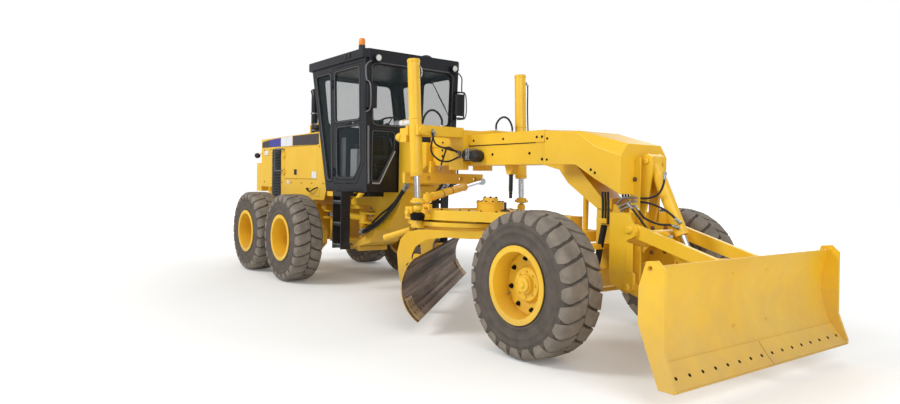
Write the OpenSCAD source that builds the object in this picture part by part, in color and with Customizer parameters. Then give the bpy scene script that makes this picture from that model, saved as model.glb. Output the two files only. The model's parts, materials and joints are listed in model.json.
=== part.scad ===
// Motor grader: a long three-axle machine that levels the ground with a blade under its middle.
// Units are millimetres. +X is forward, +Y is left and +Z is up. The ground is at z = 0.
// Lengths named "back" are measured backwards from the front axle, and "half" is half of a width.

/* [Wheels] */
// Outer diameter of every tyre
tyre_d = 1350; // [1200:10:1400]
// Width of a tyre
tyre_w = 445; // [380:5:460]
// Diameter of the rim's bead seat
rim_d = 635; // [600:5:660]
// Distance between the middles of the left and right tyres
track = 2160; // [2120:10:2300]
// Front axle to the middle of the tandem
wheelbase = 6140; // [6100:10:6600]
// Distance between the two rear axles
tandem_pitch = 1510; // [1450:10:1640]

/* [Front frame] */
// Half width of the long beam
beam_half = 150; // [120:5:180]
// Height of the beam's underside
beam_low_z = 1800; // [1800:5:1840]
// Height of the beam's side plates
beam_h = 250; // [220:5:260]
// Height of the cover strip on the beam
strip_h = 125; // [100:5:150]
// Where the beam begins, back from the front axle
beam_end_back = 2950; // [2900:10:3000]
// Half width of the frame under the cab
leg_half = 250; // [220:5:260]
// Vertical pin that joins the front and the rear frame, back from the front axle
artic_back = 5100; // [5080:5:5140]
// Radius of that pin
artic_pin_r = 50; // [40:1:60]
// Half width of the hood over the gooseneck
nose_half = 350; // [320:5:380]

/* [Cab] */
// Front wall of the cab, back from the front axle
cab_front_back = 3660; // [3650:5:3690]
// Height of the cab's floor
cab_floor_z = 1450; // [1430:5:1460]
// Top of the roof
roof_top_z = 3395; // [3380:5:3500]
// Thickness of the roof
roof_t = 120; // [100:5:140]
// Thickness of the cab's walls
cab_wall = 45; // [35:1:60]
// Half width of the cab at its floor
cab_half_low = 750; // [720:5:780]
// Half width of the cab under its roof
cab_half_high = 800; // [780:5:820]
// Gap round a door
door_gap = 6; // [4:1:10]

/* [Engine hood] */
// Half width of the hood
hood_half = 600; // [560:5:610]
// Top of the hood at its front
hood_top_z = 2355; // [2300:5:2400]
// Rear end of the hood, back from the front axle
hood_end_back = 8000; // [7950:10:8100]
// Thickness of the hood's sheet metal
hood_t = 20; // [12:1:30]
// Front edge of the side door, back from the front axle
hood_door_front = 5560; // [5540:10:5700]
// Rear edge of the side door, back from the front axle
hood_door_rear = 6900; // [6800:10:7000]
// Rearmost point of the tail, back from the front axle
tail_back = 8450; // [8400:10:8600]

/* [Blade] */
// Middle of the turning circle, back from the front axle
circle_back = 2350; // [2340:5:2380]
// Outer radius of the circle
circle_r = 765; // [740:5:780]
// How far the blade is turned from straight across
blade_turn = 44.4; // [40:0.2:48]
// Length of the mouldboard
board_len = 3660; // [3350:10:3660]
// Radius of the mouldboard's curved face
board_r = 413; // [405:1:420]
// Thickness of the mouldboard
board_t = 22; // [18:1:26]
// Ball at the front of the drawbar, back from the front axle
ball_back = 350; // [340:5:360]
// Radius of the drawbar's balls
ball_r = 55; // [50:1:60]

/* [Front blade] */
// Width of the front blade
dozer_w = 2640; // [2500:10:2700]
// Foremost point of the front blade, ahead of the front axle
dozer_reach = 1690; // [1670:5:1720]
// Radius of the push frame's pins
dozer_pin_r = 28; // [24:1:32]

/* [Hydraulics] */
// Outer radius of the lift cylinders
lift_r = 75; // [70:1:80]
// Radius of the lift cylinders' rods
lift_rod_r = 35; // [30:1:40]
// Clearance of a rod in its barrel and of a pin in its eye
fit_gap = 0.4; // [0.3:0.1:0.5]
// Clearance between faces that slide past each other
slide_gap = 2; // [1:0.5:3]

/* [Hidden] */
$fn = 48;
front_x = (tail_back - dozer_reach) / 2;
end_plate_t = 30;
// The turned mouldboard reaches furthest right and the front blade furthest left. The origin is midway.
board_reach = (board_r + board_t) * sin(blade_turn) + board_len / 2 * cos(blade_turn);
middle_y = (board_reach - dozer_w / 2 - end_plate_t) / 2;
wheel_z = tyre_d / 2;
track_half = track / 2;
rear_axles = [wheelbase - tandem_pitch / 2, wheelbase + tandem_pitch / 2];
beam_top_z = beam_low_z + beam_h;
strip_top_z = beam_top_z + strip_h;
// King pins stand just inside the tyres
kingpin_y = track_half - tyre_w / 2 - 7.5;
kingpin_r = 35;
eye_r = 75;
axle_eye_h = 196;
ear_t = 40;
steer_arm = [-180, 100];
tie_rod_r = 25;

paint = "#EFC23A";
black = "#23242c";
rubber = "#5a524c";
steel = "#4a3c30";
chrome = "#c8ccd0";
glass = [0.35, 0.42, 0.45, 0.5];

// Puts a piece, drawn with the front axle over the origin, in its place on the ground plan.
module from_axle() translate([front_x, middle_y, 0]) children();
module on_left(side) if (side > 0) children(); else mirror([0, 1, 0]) children();
module both_sides() { children(); mirror([0, 1, 0]) children(); }
// A plate that stands lengthwise, cut from an outline in X and Z, from y to y + t.
module upright(points, y, t) translate([0, y + t, 0]) rotate([90, 0, 0]) linear_extrude(t) polygon(points);
module box(low, high) translate(low) cube(high - low);
// A round bar from a to b.
module bar(a, b, r) {
  d = b - a;
  flat = norm([d.x, d.y]);
  translate(a) rotate([0, atan2(flat, d.z), atan2(d.y, d.x)]) cylinder(r = r, h = norm(d));
}
module upright_solid(half) translate([0, half, 0]) rotate([90, 0, 0]) linear_extrude(2 * half) children();
module cross_pin(x, z, half, r) translate([x, -half, z]) rotate([-90, 0, 0]) cylinder(r = r, h = 2 * half);
// An outline of a straight link with two round ends.
module link_outline(a, b, ra, rb) hull() {
  translate(a) circle(ra, $fn = 32);
  translate(b) circle(rb, $fn = 32);
}
// A link that stands lengthwise from y to y + t; a and b are [x, z].
module upright_link(a, b, ra, rb, y, t)
  translate([0, y + t, 0]) rotate([90, 0, 0]) linear_extrude(t) link_outline(a, b, ra, rb);

// Wheels

tyre_gap = 0.3;
bead_r = rim_d / 2;
flange_r = bead_r + 40;
sidewall_h = wheel_z - bead_r;
// Half of the tyre's outline as [radius, offset from its middle]
tyre_outline = [
  [bead_r + tyre_gap, tyre_w / 2 - 30], [flange_r + 10, tyre_w / 2 - 18],
  [bead_r + sidewall_h / 3, tyre_w / 2], [bead_r + 0.62 * sidewall_h, tyre_w / 2],
  [bead_r + 0.79 * sidewall_h, tyre_w / 2 - 12], [wheel_z - 22, tyre_w / 2 - 35],
  [wheel_z - 6, tyre_w / 2 - 80], [wheel_z, 0]
];
function mirrored(points) = [for (i = [len(points) - 1:-1:0]) [points[i].x, -points[i].y]];

module tyre(back, side) color(rubber) on_left(side)
  translate([-back, track_half, wheel_z]) rotate([90, 0, 0]) rotate_extrude($fn = 96)
    polygon(concat(tyre_outline, mirrored(tyre_outline)));

rim_t = 16;
hub_bore_r = 50;
// The disc's place, measured outwards from the middle of the rim
front_disc = 20;
rear_disc = -80;

wheel_hub_r = 110;
module rim(back, side, disc, hub_r) color(paint) on_left(side)
  translate([-back, track_half, wheel_z]) rotate([-90, 0, 0]) difference() {
    union() {
      rotate_extrude($fn = 96) polygon([
        [bead_r - rim_t, -tyre_w / 2 + 4], [flange_r, -tyre_w / 2 + 4], [flange_r, -tyre_w / 2 + 14],
        [bead_r, -tyre_w / 2 + 29], [bead_r, tyre_w / 2 - 29], [flange_r, tyre_w / 2 - 14],
        [flange_r, tyre_w / 2 - 4], [bead_r - rim_t, tyre_w / 2 - 4]
      ]);
      rotate_extrude($fn = 96) polygon([
        [0, disc - 90], [hub_r, disc - 90], [hub_r, disc], [bead_r - rim_t - 30, disc],
        [bead_r - rim_t, disc - 20], [bead_r, disc - 20], [bead_r, disc + 4],
        [bead_r - rim_t - 25, disc + 26], [170, disc + 26], [150, disc + 60], [95, disc + 60],
        [85, disc + 90], [0, disc + 90]
      ]);
    }
    translate([0, 0, disc - 91]) cylinder(r = hub_bore_r, h = 131);
  }

// Front axle

lean_z = wheel_z + 310;
module axle_seat() box([-90, -130, wheel_z + 85], [mast_front, 130, 1400]);
module front_axle() color(paint) {
  difference() {
    union() {
      box([-90, -kingpin_y + 60, wheel_z - 85], [90, kingpin_y - 60, wheel_z + 85]);
      both_sides() translate([0, kingpin_y, wheel_z - axle_eye_h / 2]) cylinder(r = eye_r, h = axle_eye_h);
      both_sides() box([-60, 380, wheel_z], [60, 430, lean_z]);
      box([-60, -440, lean_z - 25], [90, 440, lean_z + 25]);
    }
    both_sides() translate([0, kingpin_y, 0]) cylinder(r = kingpin_r + fit_gap, h = tyre_d);
    axle_seat();
  }
}

module knuckle(side) color(paint) on_left(side) translate([0, kingpin_y, wheel_z]) {
  ear_z = axle_eye_h / 2 + slide_gap;
  for (z = [ear_z, -ear_z - ear_t]) translate([0, 0, z]) linear_extrude(ear_t) difference() {
    union() {
      circle(eye_r);
      translate([-eye_r, 0]) square([2 * eye_r, 110]);
    }
  }
  box([-90, 80, -ear_z - ear_t], [90, 120, ear_z + ear_t]);
  translate([0, 0, -ear_z - ear_t]) cylinder(r = kingpin_r, h = 2 * (ear_z + ear_t));
  translate([0, 118, 0]) rotate([-90, 0, 0])
    cylinder(r = hub_bore_r - fit_gap, h = track_half + front_disc + 36 - kingpin_y - 118);
  translate([0, 118, 0]) rotate([-90, 0, 0]) cylinder(r = 90, h = 26);
  translate([0, 0, -ear_z - ear_t]) linear_extrude(ear_t)
    link_outline([0, 0], [steer_arm.x, -steer_arm.y], 62, 42);
}

tie_z = wheel_z - axle_eye_h / 2 - slide_gap - ear_t;
module tie_rod() color(paint) {
  y = kingpin_y - steer_arm.y;
  translate([steer_arm.x, -y, tie_z - 35]) rotate([-90, 0, 0]) cylinder(r = tie_rod_r, h = 2 * y);
  both_sides() translate([steer_arm.x, y, tie_z - 62]) cylinder(r = 36, h = 62 - fit_gap);
}

// Front frame

hitch_low_z = 480;
hitch_t = 70;
hitch_high_z = 1200;
leg_top_z = cab_floor_z - 30;
leg_rear = -artic_back + 60;
mast_front = 110;

module front_frame() color(paint) difference() {
  union() {
    upright([
      [-beam_end_back - 30, beam_low_z], [-870, beam_low_z], [-600, 1740], [-470, 1600], [-70, 1350],
      [mast_front, 1350], [mast_front, 1457], [-10, 1457], [-640, beam_top_z],
      [-beam_end_back - 30, beam_top_z]
    ], -beam_half, 2 * beam_half);
    beam_strip();
    axle_seat();
    // Tall plate box behind the blade, and the leg that runs down to the hitch
    upright([
      [-beam_end_back, 2110], [-beam_end_back, beam_low_z], [-3450, 1430], [-3750, 1060], [-3950, 860],
      [-4260, 845], [-4420, 640], [leg_rear, hitch_low_z], [leg_rear, hitch_low_z + hitch_t],
      [leg_rear + 90, hitch_low_z + hitch_t], [-4500, 760], [-4300, 900], [-4300, 1120],
      [-4420, hitch_high_z], [leg_rear, hitch_high_z], [leg_rear, hitch_high_z + hitch_t], [-4700, leg_top_z],
      [-cab_front_back + 30, leg_top_z], [-cab_front_back + 30, 2140]
    ], -leg_half, 2 * leg_half);
    for (z = [hitch_low_z, hitch_high_z]) translate([0, 0, z]) linear_extrude(hitch_t) hull() {
      translate([-artic_back, 0]) circle(130);
      translate([-artic_back + 300, -leg_half]) square([60, 2 * leg_half]);
    }
    translate([-artic_back, 0, hitch_low_z - 20])
      cylinder(r = artic_pin_r, h = hitch_high_z + hitch_t + 40 - hitch_low_z);
    both_sides() {
      for (z = [artic_front.z - artic_eye_h / 2 - fit_gap - 30, artic_front.z + artic_eye_h / 2 + fit_gap])
        box([artic_front.x - 60, leg_half - 60, z], [artic_front.x + 260, artic_front.y + 55, z + 30]);
      translate([artic_front.x, artic_front.y, artic_front.z - 80]) cylinder(r = artic_rod_r, h = 160);
    }
    // Ball of the drawbar hangs under the gooseneck
    translate([-ball_back, 0, 1050]) sphere(ball_r);
    translate([-ball_back, 0, 1050]) cylinder(r = 30, h = 500);
  }
  upright([[-3230, 1640], [-3420, 1640], [-3330, 1500]], -leg_half - 1, 2 * leg_half + 2);
}

// Side view of the hood over the gooseneck, from its top rear corner round to its sloping lower edge
nose_outline = [
  [-640, 2160], [-190, 2154], [450, 2000], [450, 1960], [367, 1840], [367, 1503], [273, 1507], [-198, 1787],
  [-640, 1787]
];
// The room inside it, open below
nose_room = [
  [-626, 2046], [-190, 2040], [436, 1890], [436, 1850], [353, 1820], [353, 1400], [273, 1400], [-260, 1740],
  [-626, 1740]
];
nose_t = 14;
nose_chamfer = 100;

module gooseneck_cover() color(paint) difference() {
  intersection() {
    upright(nose_outline, -nose_half, 2 * nose_half);
    translate([-700, 0, 0]) rotate([90, 0, 90]) linear_extrude(1300) polygon([
      [-nose_half, 1400], [nose_half, 1400],
      [nose_half, 2160 - nose_chamfer], [nose_half - nose_chamfer, 2161],
      [-nose_half + nose_chamfer, 2161], [-nose_half, 2160 - nose_chamfer]
    ]);
  }
  upright(nose_room, -nose_half + nose_t, 2 * (nose_half - nose_t));
  box([-700, -beam_half, 1700], [-600, beam_half, beam_top_z]);
}

// Lift cylinders and the saddle that carries them

lift_top = [-2360, 870, 3055];
lift_ball = [-2250, 845, 1265];
lift_axis = (lift_ball - lift_top) / norm(lift_ball - lift_top);
trunnion_z = 2200;
trunnion = lift_top + lift_axis * (lift_top.z - trunnion_z) / -lift_axis.z;
lift_bottom_z = 1650;
trunnion_r = 30;
fork_x = lift_r + 12;
fork_t = 50;
fork_web_y = trunnion.y - 130;

module beam_strip()
  box([-beam_end_back - 30, -beam_half - 12, beam_top_z - 5], [-820, beam_half + 12, strip_top_z]);
module lift_saddle() color(paint) {
  difference() {
    box([-2450, -beam_half - 90, beam_low_z - 60], [-2160, beam_half + 90, strip_top_z + 60]);
    box([-2500, -beam_half, beam_low_z - 100], [-2100, beam_half, strip_top_z]);
    beam_strip();
  }
  both_sides() {
    box([trunnion.x - fork_x - fork_t, beam_half + 80, trunnion_z - 60],
        [trunnion.x + fork_x + fork_t, fork_web_y, trunnion_z + 60]);
    difference() {
      for (end = [-1, 1]) translate([trunnion.x, 0, 0])
        box([end * (fork_x + fork_t / 2) - fork_t / 2, fork_web_y - 60, trunnion_z - 60],
            [end * (fork_x + fork_t / 2) + fork_t / 2, trunnion.y + 55, trunnion_z + 60]);
      translate([trunnion.x - 300, trunnion.y, trunnion_z]) rotate([0, 90, 0])
        cylinder(r = trunnion_r + fit_gap, h = 600);
    }
  }
  // Link bar with its lock holes, hung behind the arms
  both_sides() box([-beam_end_back, beam_half, 1560], [-beam_end_back + 60, beam_half + 60, 1860]);
  difference() {
    box([-2920, -640, 1560], [-2860, 660, 1700]);
    for (y = [-520, -270, 270, 520]) translate([-2950, y, 1630]) rotate([0, 90, 0]) cylinder(r = 30, h = 120);
  }
}

module lift_barrel(side) color(paint) on_left(side) difference() {
  union() {
    bar(lift_top, lift_top + lift_axis * (lift_top.z - lift_bottom_z) / -lift_axis.z, lift_r);
    translate([trunnion.x - fork_x - fork_t, trunnion.y, trunnion_z]) rotate([0, 90, 0])
      cylinder(r = trunnion_r, h = 2 * (fork_x + fork_t));
  }
  bar(lift_top + lift_axis * 120, lift_ball, lift_rod_r + fit_gap);
}

module lift_rod(side) color(chrome) on_left(side) {
  bar(lift_top + lift_axis * 420, lift_ball - lift_axis * 100, lift_rod_r);
  translate(lift_ball + [0, 0, ball_r + fit_gap]) cylinder(r = 62, h = 60);
}

// Drawbar, circle and mouldboard

ball_z = 1050;
bar_top_z = 1245;
bar_low_z = 1125;
circle_top_z = 1100;
circle_t = 50;
// The toothed ring is bolted inside the circle, on a ledge of the lower ring.
gear_seat_r = circle_r - 125;
circle_in_r = gear_seat_r - 15;
draw_half = circle_r - 65;
yoke_pin_z = 1280;
yoke_top_z = 1330;
shift_eye_h = 100;
shift_a = [-2400, -600, yoke_top_z + fit_gap + shift_eye_h / 2];
shift_b = [-2800, 590, 1600];

housing_r = 110;
ball_pin_r = 25;
module drawbar_ball() color(paint) {
  difference() {
    translate([-ball_back, 0, ball_z]) cylinder(r = housing_r, h = 110, center = true);
    translate([-ball_back, 0, ball_z]) sphere(ball_r + fit_gap);
    translate([-ball_back, 0, ball_z]) cylinder(r = 42, h = 200);
  }
  both_sides() translate([-ball_back, housing_r - 20, ball_z]) rotate([-90, 0, 0])
    cylinder(r = ball_pin_r, h = 65);
}

module drawbar() color(paint) {
  // Two long side beams that meet at the ball, and a cross beam behind
  difference() {
    translate([0, 0, bar_low_z]) linear_extrude(bar_top_z - bar_low_z) difference() {
      polygon([
        [-520, -90], [-520, 90], [-1500, 360], [-2100, draw_half], [-2560, draw_half], [-2560, -draw_half],
        [-2100, -draw_half], [-1500, -360]
      ]);
      polygon([[-900, -20], [-900, 20], [-1500, 180], [-1560, 180], [-1560, -180], [-1500, -180]]);
      translate([-2230, 0]) circle(250);
      translate([drive_x, 0]) circle(pinion_shaft_r + fit_gap);
    }
  }
  // Fork round the ball housing
  box([-560, -90, 990], [-475, 90, bar_top_z]);
  both_sides() difference() {
    box([-520, housing_r + 5, 990], [-290, housing_r + 45, 1110]);
    cross_pin(-ball_back, ball_z, 300, ball_pin_r + fit_gap);
  }
  box([-530, -housing_r - 45, 990], [-475, housing_r + 45, 1110]);
  circle_drive();
  both_sides() {
    box([-2340, draw_half - 60, bar_low_z], [-2190, lift_ball.y + 45, 1200]);
    translate(lift_ball) sphere(ball_r);
    translate([lift_ball.x, lift_ball.y, 1190]) cylinder(r = 34, h = 60);
  }
  // Ears of the centre shift cylinder's yoke
  difference() {
    at_yoke() for (end = [-42, 42]) box([end - 10, -30, bar_top_z - 1], [end + 10, 30, yoke_pin_z + 28]);
    yoke_pin(70, yoke_pin_r + fit_gap);
  }
  // Shoes under the drawbar carry the circle by its rim
  both_sides() {
    box([-circle_back - 90, draw_half - 10, bar_low_z], [-circle_back + 90, circle_r + 45, bar_low_z + 50]);
    box([-circle_back - 90, circle_r + 5, circle_top_z - circle_t - 30],
        [-circle_back + 90, circle_r + 45, bar_low_z + 1]);
    box([-circle_back - 90, circle_r - shoe_lip, circle_top_z - circle_t - 30],
        [-circle_back + 90, circle_r + 6, circle_top_z - circle_t - fit_gap]);
  }
}

// Motor and gear case that turn the circle, as a stepped and flanged drum on the drawbar
drum_r = 170;
drum_top_z = 1355;
module circle_drive() translate([drive_x, 0, 0]) rotate_extrude() polygon([
  [0, bar_top_z - 5], [drum_r, bar_top_z - 5], [drum_r, drum_top_z - 15], [drum_r + 8, drum_top_z - 15],
  [drum_r + 8, drum_top_z], [100, drum_top_z], [92, drum_top_z + 50], [0, drum_top_z + 50]
]);

// Involute teeth: the ring's teeth point inwards, and the drive's pinion rolls on them.
ring_teeth = 80;
pinion_teeth = 20;
pressure = 20;
// Play of each flank, measured along the pitch circle
tooth_play = 1;
ring_pitch_r = gear_seat_r - 40;
tooth_m = 2 * ring_pitch_r / ring_teeth;
pinion_pitch_r = tooth_m * pinion_teeth / 2;
drive_x = -circle_back + ring_pitch_r - pinion_pitch_r;
pinion_shaft_r = 45;
function involute(angle) = tan(angle) * 180 / PI - angle;
// Half of the angle that a tooth takes up at radius r
function half_tooth(r, pitch_r, teeth, play) = 90 / teeth - play / pitch_r * 180 / PI + involute(pressure)
  - involute(acos(min(1, pitch_r * cos(pressure) / r)));
function polar(r, angle) = [r * cos(angle), r * sin(angle)];
function gear_outline(low_r, high_r, pitch_r, teeth, play) = [
  for (i = [0:teeth - 1], flank = [-1, 1], step = [0:2])
    let (r = [low_r, pitch_r, high_r][flank < 0 ? step : 2 - step])
      polar(r, i * 360 / teeth + flank * half_tooth(r, pitch_r, teeth, play))
];

// The space between the ring's teeth is itself the outline of a gear, a little fatter than the pinion's.
module circle_gear() color(steel) translate([-circle_back, 0, circle_top_z - circle_t + 1 + fit_gap])
  linear_extrude(circle_t - 1 - fit_gap) difference() {
    circle(gear_seat_r - fit_gap, $fn = 96);
    polygon(gear_outline(
      ring_pitch_r - 0.8 * tooth_m, ring_pitch_r + 1.25 * tooth_m, ring_pitch_r, ring_teeth, -tooth_play));
  }

module circle_pinion() color(steel) translate([drive_x, 0, circle_top_z - circle_t - 4]) {
  linear_extrude(circle_t + 8) polygon(gear_outline(
    pinion_pitch_r - 1.25 * tooth_m, pinion_pitch_r + tooth_m, pinion_pitch_r, pinion_teeth, tooth_play));
  cylinder(r = pinion_shaft_r, h = bar_low_z + 60 - circle_top_z + circle_t + 4);
}

module blade_frame() translate([-circle_back, 0, 0]) rotate([0, 0, blade_turn]) children();
shoe_lip = 45;
lower_ring_r = circle_r - shoe_lip - 8;
arm_y = lower_ring_r - 12;
arm_t = 40;
arm_top_z = circle_top_z - circle_t - 40;
// Outline of a circle arm as [forwards from the circle's middle, height]
arm_outline = [
  [150, arm_top_z], [-500, arm_top_z], [-630, arm_top_z - 30], [-715, 890], [-754, 720], [-735, 510],
  [-690, 300], [-620, 240], [-560, 280], [-550, 340], [-575, 480], [-575, 700], [-530, 800], [-400, 890],
  [-170, 925], [150, 915]
];
hinge_n = -620;
hinge_z = 310;

module circle_frame() color(paint) blade_frame() {
  translate([0, 0, circle_top_z - circle_t]) difference() {
    cylinder(r = circle_r, h = circle_t, $fn = 96);
    translate([0, 0, -1]) cylinder(r = gear_seat_r, h = circle_t + 2, $fn = 96);
  }
  // Lower ring: the arms hang from it, clear of the shoes
  translate([0, 0, arm_top_z - 2]) difference() {
    cylinder(r = lower_ring_r, h = circle_top_z - circle_t - arm_top_z + 3, $fn = 96);
    translate([0, 0, -1]) cylinder(r = circle_in_r, h = 100, $fn = 96);
  }
  difference() {
    both_sides() upright(arm_outline, arm_y - arm_t / 2, arm_t);
    cross_pin(hinge_n, hinge_z, 800, dozer_pin_r + fit_gap);
  }
  box([-330, -arm_y, arm_top_z - 90], [-230, arm_y, arm_top_z]);
}

board_z = 487;
rail_z = [310, 670];
rail_n = -463;
rail_t = 22;
module tilt_frame() color(paint) blade_frame() {
  plate_y = arm_y + arm_t / 2 + slide_gap + 3;
  both_sides() {
    upright([
      [hinge_n - 50, hinge_z - 50], [hinge_n + 40, hinge_z - 60], [-475, 265], [-475, 720], [-540, 720],
      [-570, 600], [hinge_n - 50, hinge_z + 50]
    ], plate_y, 30);
    translate([hinge_n, plate_y + 30, hinge_z]) rotate([90, 0, 0])
      cylinder(r = dozer_pin_r, h = 30 + arm_t + 20);
    // Guides grip the T-shaped rails behind the mouldboard
    for (z = rail_z) difference() {
      box([-485, plate_y, z - 45], [rail_n + rail_t + slide_gap + 12, plate_y + 120, z + 45]);
      box([rail_n - slide_gap, plate_y - 1, z - 25 - fit_gap],
          [rail_n + rail_t + slide_gap, plate_y + 121, z + 27]);
      box([rail_n, plate_y - 1, z - 12], [-380, plate_y + 121, z + 12]);
    }
  }
  cross_pin(-500, 487, plate_y + 2, 30);
}

rail_half = board_len / 2 - 330;
module mouldboard() color(steel) blade_frame() {
  translate([0, board_len / 2, 0]) rotate([90, 0, 0]) linear_extrude(board_len) difference() {
    intersection() {
      translate([0, board_z]) circle(board_r + board_t, $fn = 96);
      polygon([[0, board_z], [-600, board_z + 579], [-700, board_z], [-600, board_z - 826]]);
    }
    translate([0, board_z]) circle(board_r, $fn = 96);
  }
  for (z = rail_z) {
    box([rail_n, -rail_half, z - 25], [rail_n + rail_t, rail_half, z + 25]);
    box([rail_n + 1, -rail_half, z - 10], [-385, rail_half, z + 10]);
  }
}

// The yoke rocks on a level pin and carries the cylinder's eye on an upright one
yoke_pin_r = 15;
shift_way = atan2(shift_b.y - shift_a.y, shift_b.x - shift_a.x);
module at_yoke() translate([shift_a.x, shift_a.y, 0]) rotate([0, 0, shift_way - 90]) children();
module yoke_pin(half, r) at_yoke() translate([-half, 0, yoke_pin_z]) rotate([0, 90, 0])
  cylinder(r = r, h = 2 * half);
module shift_yoke() color(paint) {
  yoke_pin(30, 28);
  yoke_pin(58, yoke_pin_r);
  translate([shift_a.x, shift_a.y, yoke_pin_z]) cylinder(r = 30, h = yoke_top_z - yoke_pin_z);
  translate([shift_a.x, shift_a.y, yoke_pin_z])
    cylinder(r = 24, h = yoke_top_z - yoke_pin_z + shift_eye_h + 20);
}

module shift_barrel() color(paint) {
  d = (shift_b - shift_a) / norm(shift_b - shift_a);
  difference() {
    union() {
      bar(shift_a + d * 45, shift_a + d * 850, 48);
      translate(shift_a - [0, 0, shift_eye_h / 2]) cylinder(r = 55, h = shift_eye_h);
    }
    bar(shift_a + d * 100, shift_b, 24 + fit_gap);
    translate(shift_a - [0, 0, 100]) cylinder(r = 24 + fit_gap, h = 200);
  }
}

module shift_rod() color(chrome) {
  d = (shift_b - shift_a) / norm(shift_b - shift_a);
  bar(shift_a + d * 420, shift_b, 24);
  translate(shift_b - [35, 0, 0]) rotate([0, 90, 0]) cylinder(r = 45, h = 70);
}

// Front blade and its push frame

push_top = [500, 1180];
push_low = [490, 650];
push_run = [820, -230];
blade_top = push_top + push_run;
blade_low = push_low + push_run;
push_y = 350;
dozer_eye = [470, 1820];
dozer_rod_eye = [950, 860];
push_in_y = push_y - 18 - slide_gap - 50;
// Thickness of the bracket's inner plates, on the inside of the lower links
bracket_in_t = 24;
// Cross tube of the push arms, and the inner faces of the ears that hold the blade's cylinder
push_tube = [640, 1140];
dozer_ear_y = 68;

module dozer_bracket() color(paint) {
  both_sides() difference() {
    union() {
      // The outer plate is notched between its two eyes
      upright([
        [280, 800], [300, 668], [452, 603], [505, 598], [548, 630], [563, 690], [560, 780], [532, 798],
        [478, 806], [478, 1085], [530, 1105], [566, 1130], [580, 1175], [566, 1215], [530, 1242],
        [480, 1330], [280, 1330]
      ], push_y - 18, 36);
      upright([
        [280, 800], [300, 668], [452, 603], [505, 598], [548, 630], [563, 690], [560, 1030], [405, 1060],
        [405, 1100], [280, 1100]
      ], push_in_y - slide_gap - bracket_in_t, bracket_in_t);
    }
    cross_pin(push_top.x, push_top.y, 500, dozer_pin_r + fit_gap);
    cross_pin(push_low.x, push_low.y, 500, dozer_pin_r + fit_gap);
  }
  box([280, -push_y + 17, 1000], [400, push_y - 17, 1330]);
  box([mast_front, -130, 900], [281, 130, 1400]);
  // Mast plates carry the blade's lift cylinder
  both_sides() difference() {
    upright([
      [281, 1100], [440, 1150], [540, 1790], [530, 1860], [480, 1890], [420, 1865], [385, 1790], [385, 1330],
      [281, 1330]
    ], dozer_ear_y, 30);
    cross_pin(dozer_eye.x, dozer_eye.y, 110, dozer_pin_r + fit_gap);
  }
}

// A pair of pins at [x, z] that reach outwards from y.
module push_pin(at, y, h) both_sides() translate([at.x, y, at.y]) rotate([-90, 0, 0])
  cylinder(r = dozer_pin_r, h = h);
module push_arms() color(paint) {
  y = push_in_y;
  both_sides() upright_link(push_top, blade_top, 60, 55, y, 50);
  push_pin(push_top, y + 1, 106);
  push_pin(blade_top, y - 50, 52);
  cross_pin(push_tube.x, push_tube.y, y + 1, 45);
  both_sides() upright([
    [push_tube.x - 20, push_tube.y + 40], [push_tube.x + 60, push_tube.y + 35], [995, 890], [990, 830],
    [950, 812], [910, 830], [push_tube.x - 20, push_tube.y - 40]
  ], dozer_ear_y, 24);
}

module push_links() color(paint) {
  y = push_in_y;
  both_sides() upright_link(push_low, blade_low, 50, 50, y, 50);
  push_pin(push_low, y - slide_gap - bracket_in_t, 107 + slide_gap + bracket_in_t);
  push_pin(blade_low, y - 50, 52);
  cross_pin(push_low.x + 0.27 * push_run.x, push_low.y + 0.27 * push_run.y, y + 1, 40);
}

// Curved face of the front blade: an arc from its top edge to its cutting edge
face_r = 726;
face_t = 20;
face_c = [dozer_reach + 475, 704];
face_low_z = 155;
face_top_z = 1021;
function blade_back_x(z) = face_c.x - sqrt(pow(face_r + face_t, 2) - pow(z - face_c.y, 2));
module front_blade() color(paint) {
  half = dozer_w / 2;
  upright_solid(half) difference() {
    intersection() {
      translate(face_c) circle(face_r + face_t, $fn = 128);
      translate([face_c.x - 1000, face_low_z]) square([1000, face_top_z - face_low_z]);
    }
    translate(face_c) circle(face_r, $fn = 128);
  }
  both_sides() difference() {
    upright([
      [1370, 600], [1370, 860], [1430, 1050], [1520, 1062], [1590, 1000], [1600, 430],
      [dozer_reach, face_low_z + 40], [dozer_reach, face_low_z], [1560, face_low_z]
    ], half, end_plate_t);
    cross_pin(1465, 1000, 2000, 20);
  }
  for (z = [300, 640, 960]) box([blade_back_x(z) - 55, -half, z - 22], [blade_back_x(z) + 8, half, z + 22]);
  both_sides() for (p = [blade_top, blade_low]) difference() {
    hull() {
      translate([p.x, push_in_y - slide_gap, p.y]) rotate([90, 0, 0]) cylinder(r = 50, h = 40, $fn = 32);
      translate([blade_back_x(p.y), push_in_y - slide_gap - 40, p.y - 60]) cube([10, 40, 120]);
    }
    cross_pin(p.x, p.y, 500, dozer_pin_r + fit_gap);
  }
}

dozer_t = [dozer_eye.x, 0, dozer_eye.y];
dozer_b = [dozer_rod_eye.x, 0, dozer_rod_eye.y];
dozer_d = (dozer_b - dozer_t) / norm(dozer_b - dozer_t);
module dozer_barrel() color(paint) difference() {
  union() {
    bar(dozer_t, dozer_t + dozer_d * 760, 60);
    cross_pin(dozer_t.x, dozer_t.z, dozer_ear_y - 3, 66);
    cross_pin(dozer_t.x, dozer_t.z, dozer_ear_y + 35, dozer_pin_r);
  }
  bar(dozer_t + dozer_d * 120, dozer_b, 30 + fit_gap);
}
module dozer_rod() color(chrome) {
  bar(dozer_t + dozer_d * 420, dozer_b, 30);
  cross_pin(dozer_b.x, dozer_b.z, dozer_ear_y - 3, 42);
}

// Cab

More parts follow.
